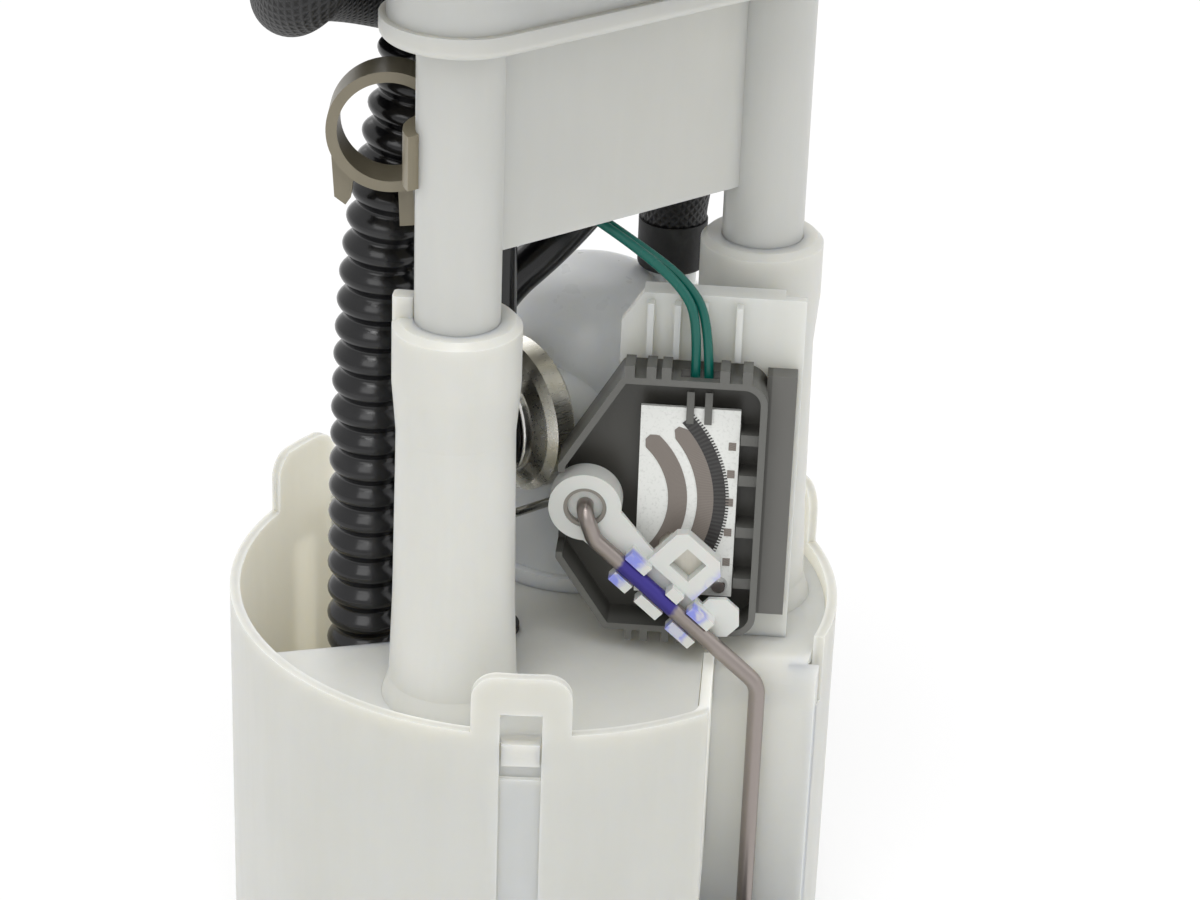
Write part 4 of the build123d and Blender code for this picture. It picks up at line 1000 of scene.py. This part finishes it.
@dataclass
class Hoses:
    """The hoses, tubes and leads that join the reservoir to the flange."""

    finishes: Finishes
    corrugated_crest: float = 7.85
    corrugated_valley: float = 5.9
    corrugated_pitch: float = 5.5
    braid_radius: float = 6.5
    tube_radius: float = 4.0
    sleeve_radius: float = 3.8
    lead_radius: float = 0.9
    corrugated_route: tuple[Point, ...] = (
        (-34.0, 9.0, 20.5), (-34.0, 9.0, 80.0), (-32.6, 8.6, 138.0), (-30.4, 7.2, 166.0), (-25.6, 3.9, 194.0),
        (-23.5, 4.0, 216.0), (-23.5, 4.0, 238.0),
    )
    braid_route: tuple[Point, ...] = (
        (35.0, 4.0, 150.0), (35.0, 4.0, 154.0), (37.6, 2.2, 169.0), (24.0, 13.0, 182.0), (0.0, 25.0, 192.0),
        (-26.0, 27.0, 202.0), (-46.0, 17.0, 208.0), (-55.5, 1.0, 211.0), (-56.5, -10.0, 219.0),
        (-50.0, -8.0, 229.0), (-50.0, -8.0, 238.0),
    )
    vent_route: tuple[Point, ...] = (
        (-16.0, 4.5, 76.5), (-16.0, 4.5, 126.0), (-10.0, 3.0, 144.0), (4.0, 1.0, 153.0), (17.0, 1.0, 163.0),
        (18.0, 2.0, 185.0), (14.0, 4.0, 212.0), (14.0, 4.0, 238.0),
    )
    sleeve_route: tuple[Point, ...] = (
        (-15.5, -7.0, 76.5), (-15.5, -7.0, 130.0), (-15.7, -6.0, 185.0), (-12.0, 3.0, 208.0),
        (-12.0, 3.0, 229.0),
    )
    lead_a_route: tuple[Point, ...] = (
        (12.75, -35.16, 135.0), (13.05, -34.16, 147.0), (11.25, -30.16, 154.0), (5.25, -21.16, 160.5),
        (-3.0, -10.0, 168.0), (-4.0, -4.6, 196.0), (-4.0, -4.6, 229.0),
    )
    lead_b_route: tuple[Point, ...] = (
        (10.82, -33.42, 135.0), (10.95, -33.56, 147.0), (9.15, -30.76, 154.0), (3.15, -22.06, 161.3),
        (-5.4, -10.0, 169.0), (-6.4, -4.6, 196.0), (-6.4, -4.6, 229.0),
    )

    def _between_bodies(self, piece: bpy.types.Object, node: str) -> None:
        """Makes a piece stand for its node, which it hides, and bakes the piece's placement into its mesh.

        Args:
            piece: the piece.
            node: the node that it stands for.
        """
        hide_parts(node)
        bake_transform(piece)
        LOG.info("%s: %d faces", piece.name, len(piece.data.polygons))

    def corrugated(self) -> None:
        """The corrugated return hose, its rings made along the route."""
        line = even_samples(route_samples(self.corrugated_route), 0.5 * MM)
        sheet = GeometrySheet(
            "corrugated rings",
            {
                "Crest": self.corrugated_crest * MM,
                "Valley": self.corrugated_valley * MM,
                "Pitch": self.corrugated_pitch * MM,
            },
        )
        run = sheet.add("GeometryNodeSplineParameter").outputs["Length"]
        phase = sheet.maths("MULTIPLY", sheet.maths("DIVIDE", run, sheet.size("Pitch")), 2.0 * math.pi)
        wave = sheet.maths("ADD", sheet.maths("MULTIPLY", sheet.maths("COSINE", phase), 0.5), 0.5)
        rounded = sheet.maths("POWER", wave, 0.55)
        depth = sheet.maths("SUBTRACT", sheet.size("Crest"), sheet.size("Valley"))
        radius = sheet.maths("ADD", sheet.size("Valley"), sheet.maths("MULTIPLY", rounded, depth))
        sized = sheet.add(
            "GeometryNodeSetCurveRadius", {}, {"Curve": sheet.entry.outputs["Geometry"], "Radius": radius}
        )
        swept = sheet.sweep(sized.outputs[0], 40, 1.0)
        if "Scale" in swept.inputs:
            sheet.tree.links.new(radius, swept.inputs["Scale"])
        smooth = sheet.add("GeometryNodeSetShadeSmooth", {}, {0: swept.outputs[0]})
        source = line_curve("line", line)
        piece = sheet.run("corrugated_rings", smooth.outputs[0], self.finishes["gloss_tube"], source)
        self._between_bodies(piece, "corrugated_hose")

    def braided(self) -> None:
        """The supply hose with its woven cover."""
        line = even_samples(route_samples(self.braid_route), 0.9 * MM)
        piece = tube_piece("woven_hose", line, self.braid_radius * MM, self.finishes["braided_cover"], 48)
        self._between_bodies(piece, "braided_hose")

    def plain(self) -> None:
        """The smooth tube, the lead sleeve and the two sender leads."""
        tube = ("hose_plastic", "gloss_tube", 150.0)
        lead = ("lead_cover", "lead_green", 160.0)
        rows = (
            ("smooth_tube", "vent_tube", self.vent_route, self.tube_radius, tube),
            ("pump_sleeve", "lead_sleeve", self.sleeve_route, self.sleeve_radius, tube),
            ("green_lead_a", "sender_lead_a", self.lead_a_route, self.lead_radius, lead),
            ("green_lead_b", "sender_lead_b", self.lead_b_route, self.lead_radius, lead),
        )
        for name, node, route, radius, (slot, finish, low) in rows:
            line = even_samples(route_samples(route), 1.2 * MM)
            piece = tube_piece(name, line, radius * MM, self.finishes[finish], 24)
            self._between_bodies(piece, node)

    def build(self) -> None:
        """Makes every hose and lead."""
        self.corrugated()
        self.braided()
        self.plain()


@dataclass
class GuideSprings:
    """The coil springs inside the guide posts."""

    finishes: Finishes
    post_x: float = 35.5
    post_y: float = -22.0
    low: float = 84.0
    high: float = 152.0
    radius: float = 4.6
    wire: float = 0.85
    turns: float = 9.0

    def build(self) -> None:
        """Makes both springs."""
        for side, node in ((-1.0, "guide_spring_left"), (1.0, "guide_spring_right")):
            sheet = GeometrySheet(
                node + " coil",
                {"Radius": self.radius * MM, "Wire": self.wire * MM, "Turns": self.turns,
                 "Height": (self.high - self.low - 2 * self.wire) * MM},
            )
            coil = sheet.add(
                "GeometryNodeCurveSpiral", {},
                {"Resolution": 28, "Rotations": sheet.size("Turns"), "Start Radius": sheet.size("Radius"),
                 "End Radius": sheet.size("Radius"), "Height": sheet.size("Height")},
            )
            swept = sheet.sweep(coil.outputs[0], 12, sheet.size("Wire"))
            moved = sheet.add(
                "GeometryNodeTransform", {},
                {"Geometry": swept.outputs[0],
                 "Translation": (side * self.post_x * MM, self.post_y * MM, (self.low + self.wire) * MM)},
            )
            finish = self.finishes["spring_steel"]
            piece = sheet.run(node + "_coil", moved.outputs[0], finish, empty_mesh(node))
            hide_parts(node)
            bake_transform(piece)
            LOG.info("%s: %d faces", piece.name, len(piece.data.polygons))


# Inner and outer radius, first and last angle
Band = tuple[float, float, float, float]


@dataclass
class PrintedCard:
    """The tracks, comb and pads printed on the sender's card."""

    finishes: Finishes
    pivot_u: float = 11.0
    pivot_z: float = 110.0
    face_n: float = 17.2
    ink: float = 0.12
    tracks: tuple[Band, ...] = ((15.4, 19.0, -42.0, 50.0), (20.9, 24.0, -44.0, 43.0))
    comb: Band = (24.0, 26.9, -40.0, 43.0)
    comb_band: Band = (24.0, 26.3, -40.4, 43.4)
    comb_bars: int = 62
    bar_width: float = 0.24
    end_span: float = 4.0
    end_width: float = 0.35
    pad_u: float = 38.0
    pads: tuple[float, ...] = (122.2, 116.4, 110.4, 104.0, 97.6)

    def _at(self, radius: float, degrees: float, height: float) -> Vector:
        """A point at a radius and angle about the pivot, at a height over the card."""
        turn = math.radians(degrees)
        u = self.pivot_u + radius * math.cos(turn)
        return sender_point(u, self.face_n + height, self.pivot_z + radius * math.sin(turn))

    def _band(
        self, name: str, inner: float, outer: float, start: float, end: float, finish: str, taper: float = 1.0
    ) -> bpy.types.Object:
        """A printed band between two radii, with its upper end drawn in.

        Args:
            name: the piece's name.
            inner: the inner radius.
            outer: the outer radius.
            start: the first angle.
            end: the last angle.
            finish: its material.
            taper: its width at the upper end, as a share of the whole.

        Returns:
            The piece.
        """
        steps = 64
        middle = (inner + outer) / 2
        vertices = []
        for step in range(steps + 1):
            turn = start + (end - start) * step / steps
            near_end = min(1.0, (end - turn) / self.end_span)
            share = taper + (1.0 - taper) * near_end
            for height in (0.0, self.ink):
                for radius in (inner, outer):
                    vertices.append(self._at(middle + (radius - middle) * share, turn, height))
        faces = []
        for step in range(steps):
            a, b = 4 * step, 4 * step + 4
            faces += [(a + 2, a + 3, b + 3, b + 2), (a, b, b + 1, a + 1)]
            faces += [(a, a + 2, b + 2, b), (a + 1, b + 1, b + 3, a + 3)]
        last = 4 * steps
        faces += [(0, 1, 3, 2), (last, last + 2, last + 3, last + 1)]
        return plain_piece(name, vertices, faces, self.finishes[finish])

    def _comb(self) -> bpy.types.Object:
        """The dark comb: one bar, repeated about the pivot."""
        inner, outer, start, end = self.comb
        sizes = {"Inner": inner * MM, "Length": (outer - inner) * MM, "Bars": float(self.comb_bars)}
        sheet = GeometrySheet("comb bars", sizes)
        bar = sheet.add("GeometryNodeMeshCube", {}, {"Size": (1.0, self.bar_width * MM, 1.3 * self.ink * MM)})
        combined = sheet.add("ShaderNodeCombineXYZ", {}, {"X": sheet.size("Length"), "Y": 1.0, "Z": 1.0})
        half = sheet.maths("MULTIPLY", sheet.size("Length"), 0.5)
        middle = sheet.maths("ADD", sheet.size("Inner"), half)
        offset = sheet.add("ShaderNodeCombineXYZ", {}, {"X": middle})
        shaped = sheet.add(
            "GeometryNodeTransform", {},
            {"Geometry": bar.outputs[0], "Scale": combined.outputs[0], "Translation": offset.outputs[0]},
        )
        points = sheet.add("GeometryNodePoints", {}, {"Count": self.comb_bars})
        index = sheet.add("GeometryNodeInputIndex").outputs[0]
        share = sheet.maths("DIVIDE", index, sheet.maths("SUBTRACT", sheet.size("Bars"), 1.0))
        turned = sheet.maths("MULTIPLY", share, math.radians(end - start))
        turn = sheet.maths("ADD", turned, math.radians(start))
        spin = sheet.add("ShaderNodeCombineXYZ", {}, {"Z": turn})
        spread = sheet.add(
            "GeometryNodeInstanceOnPoints", {},
            {"Points": points.outputs[0], "Instance": shaped.outputs[0], "Rotation": spin.outputs[0]},
        )
        finish = self.finishes["track_dark"]
        piece = sheet.run("printed_comb", spread.outputs[0], finish, empty_mesh("comb"))
        place = Matrix((
            (FACE.x, 0.0, OUT.x, 0.0),
            (FACE.y, 0.0, OUT.y, 0.0),
            (FACE.z, 1.0, OUT.z, 0.0),
            (0.0, 0.0, 0.0, 1.0),
        ))
        place.translation = sender_point(self.pivot_u, self.face_n + self.ink / 2 + 0.01, self.pivot_z)
        piece.data.transform(place)
        return piece

    def _pads(self) -> bpy.types.Object:
        """The small pads beside the comb."""
        vertices: list[Vector] = []
        faces: list[Sequence[int]] = []
        for z in self.pads:
            base = len(vertices)
            for n in (self.face_n, self.face_n + self.ink):
                for du, dz in ((-0.7, -0.8), (0.7, -0.8), (0.7, 0.8), (-0.7, 0.8)):
                    vertices.append(sender_point(self.pad_u + du, n, z + dz))
            for ring in ((4, 5, 6, 7), (3, 2, 1, 0), (0, 1, 5, 4), (1, 2, 6, 5), (2, 3, 7, 6), (3, 0, 4, 7)):
                faces.append(tuple(base + corner for corner in ring))
        return plain_piece("printed_pads", vertices, faces, self.finishes["track_grey"])

    def build(self) -> None:
        """Makes the printed layer, which stands for the plain tracks."""
        pieces = [
            self._band(f"printed_track_{i}", *track, "track_grey", self.end_width)
            for i, track in enumerate(self.tracks)
        ]
        pieces += [self._band("comb_band", *self.comb_band, "track_dark"), self._comb(), self._pads()]
        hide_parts("card_tracks")
        for piece in pieces:
            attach(piece, Body.RESERVOIR.value)
            LOG.info("%s: %d faces", piece.name, len(piece.data.polygons))


@dataclass
class Studio:
    """The camera, the lamps and the white sweep under the module."""

    camera_place: Point = (-350.1, -458.2, 399.2)
    right: Point = (0.79113, -0.61081, 0.03194)
    up: Point = (0.25095, 0.37178, 0.89376)
    back: Point = (-0.55779, -0.69907, 0.44741)
    lens: float = 99.52
    floor_half: float = 6.0
    floor_glow: float = 0.66
    surround: float = 0.82
    lamps: tuple[tuple[str, Point, float, float], ...] = (
        ("key", (-0.75, -0.55, 1.05), 2.6, 0.7),
        ("top", (-0.25, -0.25, 1.25), 4.5, 0.35),
        ("fill", (0.75, -0.85, 0.65), 1.0, 0.9),
        ("rim", (0.35, 0.95, 0.85), 2.2, 0.8),
    )

    def camera(self) -> None:
        """The camera at the photograph's viewing angle."""
        data = bpy.data.cameras.new("camera")
        data.lens = self.lens
        data.sensor_width = 36.0
        data.sensor_fit = "HORIZONTAL"
        data.clip_start = 0.01
        data.clip_end = 20.0
        camera = placed("camera", data)
        turn = Matrix((self.right, self.up, self.back)).transposed().to_4x4()
        turn.translation = Vector(self.camera_place) * MM
        camera.matrix_world = turn
        bpy.context.scene.camera = camera

    def lamp(self, name: str, place: Point, power: float, size: float, aim: Point = (0.0, 0.0, 0.12)) -> None:
        """A soft square lamp.

        Args:
            name: its name.
            place: where it stands, in metres.
            power: its power, in watts.
            size: the side of its square, in metres.
            aim: what it points at.
        """
        data = bpy.data.lights.new(name, "AREA")
        data.shape = "SQUARE"
        data.size = size
        data.energy = power
        lamp = placed(name, data)
        lamp.location = place
        lamp.rotation_mode = "QUATERNION"
        lamp.rotation_quaternion = (Vector(aim) - Vector(place)).to_track_quat("-Z", "Y")

    def floor(self) -> None:
        """The white floor, which keeps the module's shadow."""
        sheet = NodeSheet("floor_white")
        sheet.finish(Base_Color=(0.93, 0.93, 0.93), Roughness=0.9, Emission_Color=(1.0, 1.0, 1.0))
        camera_ray = sheet.add("ShaderNodeLightPath", output="Is Camera Ray")
        glossy_ray = sheet.add("ShaderNodeLightPath", output="Is Glossy Ray")
        seen = camera_ray.most(glossy_ray)
        glow = sheet.add("ShaderNodeEmission", {}, {"Color": (1.0, 1.0, 1.0, 1.0), "Strength": 1.0})
        plastic = sheet.shader.outputs[0]
        mixed = sheet.add("ShaderNodeMixShader", {}, {0: seen * self.floor_glow, 1: plastic, 2: glow})
        output = sheet.tree.nodes["Material Output"]
        sheet.tree.links.new(mixed.socket, output.inputs["Surface"])
        side = self.floor_half
        corners = [(-side, -side, 0), (side, -side, 0), (side, side, 0), (-side, side, 0)]
        floor = plain_piece("floor", corners, [(0, 1, 2, 3)], sheet.material)

    def world(self) -> None:
        """A level white surround."""
        world = bpy.data.worlds.new("studio")
        bpy.context.scene.world = world
        world.use_nodes = True
        tree = world.node_tree
        background = tree.nodes["Background"]
        background.inputs["Color"].default_value = (1.0, 1.0, 1.0, 1.0)
        rays = tree_node(tree, "ShaderNodeLightPath", {}, {}).outputs
        seen = {0: rays["Is Camera Ray"], 1: rays["Is Transmission Ray"]}
        both = tree_node(tree, "ShaderNodeMath", {"operation": "MAXIMUM"}, seen).outputs[0]
        span = {"Value": both, "To Min": self.surround, "To Max": 1.0}
        strength = tree_node(tree, "ShaderNodeMapRange", {}, span)
        tree.links.new(strength.outputs["Result"], background.inputs["Strength"])

    def build(self) -> None:
        """Sets up the whole studio."""
        self.camera()
        self.floor()
        self.world()
        for row in self.lamps:
            self.lamp(*row)
        bpy.context.scene.view_settings.view_transform = "Standard"
        LOG.info("studio ready")


def main() -> None:
    """Builds the scene in order."""
    logging.basicConfig(level=logging.INFO, format="%(message)s")
    finishes = Finishes()
    dress_nodes(finishes)
    Hoses(finishes).build()
    GuideSprings(finishes).build()
    PrintedCard(finishes).build()
    Studio().build()


if __name__ == "__main__":
    main()
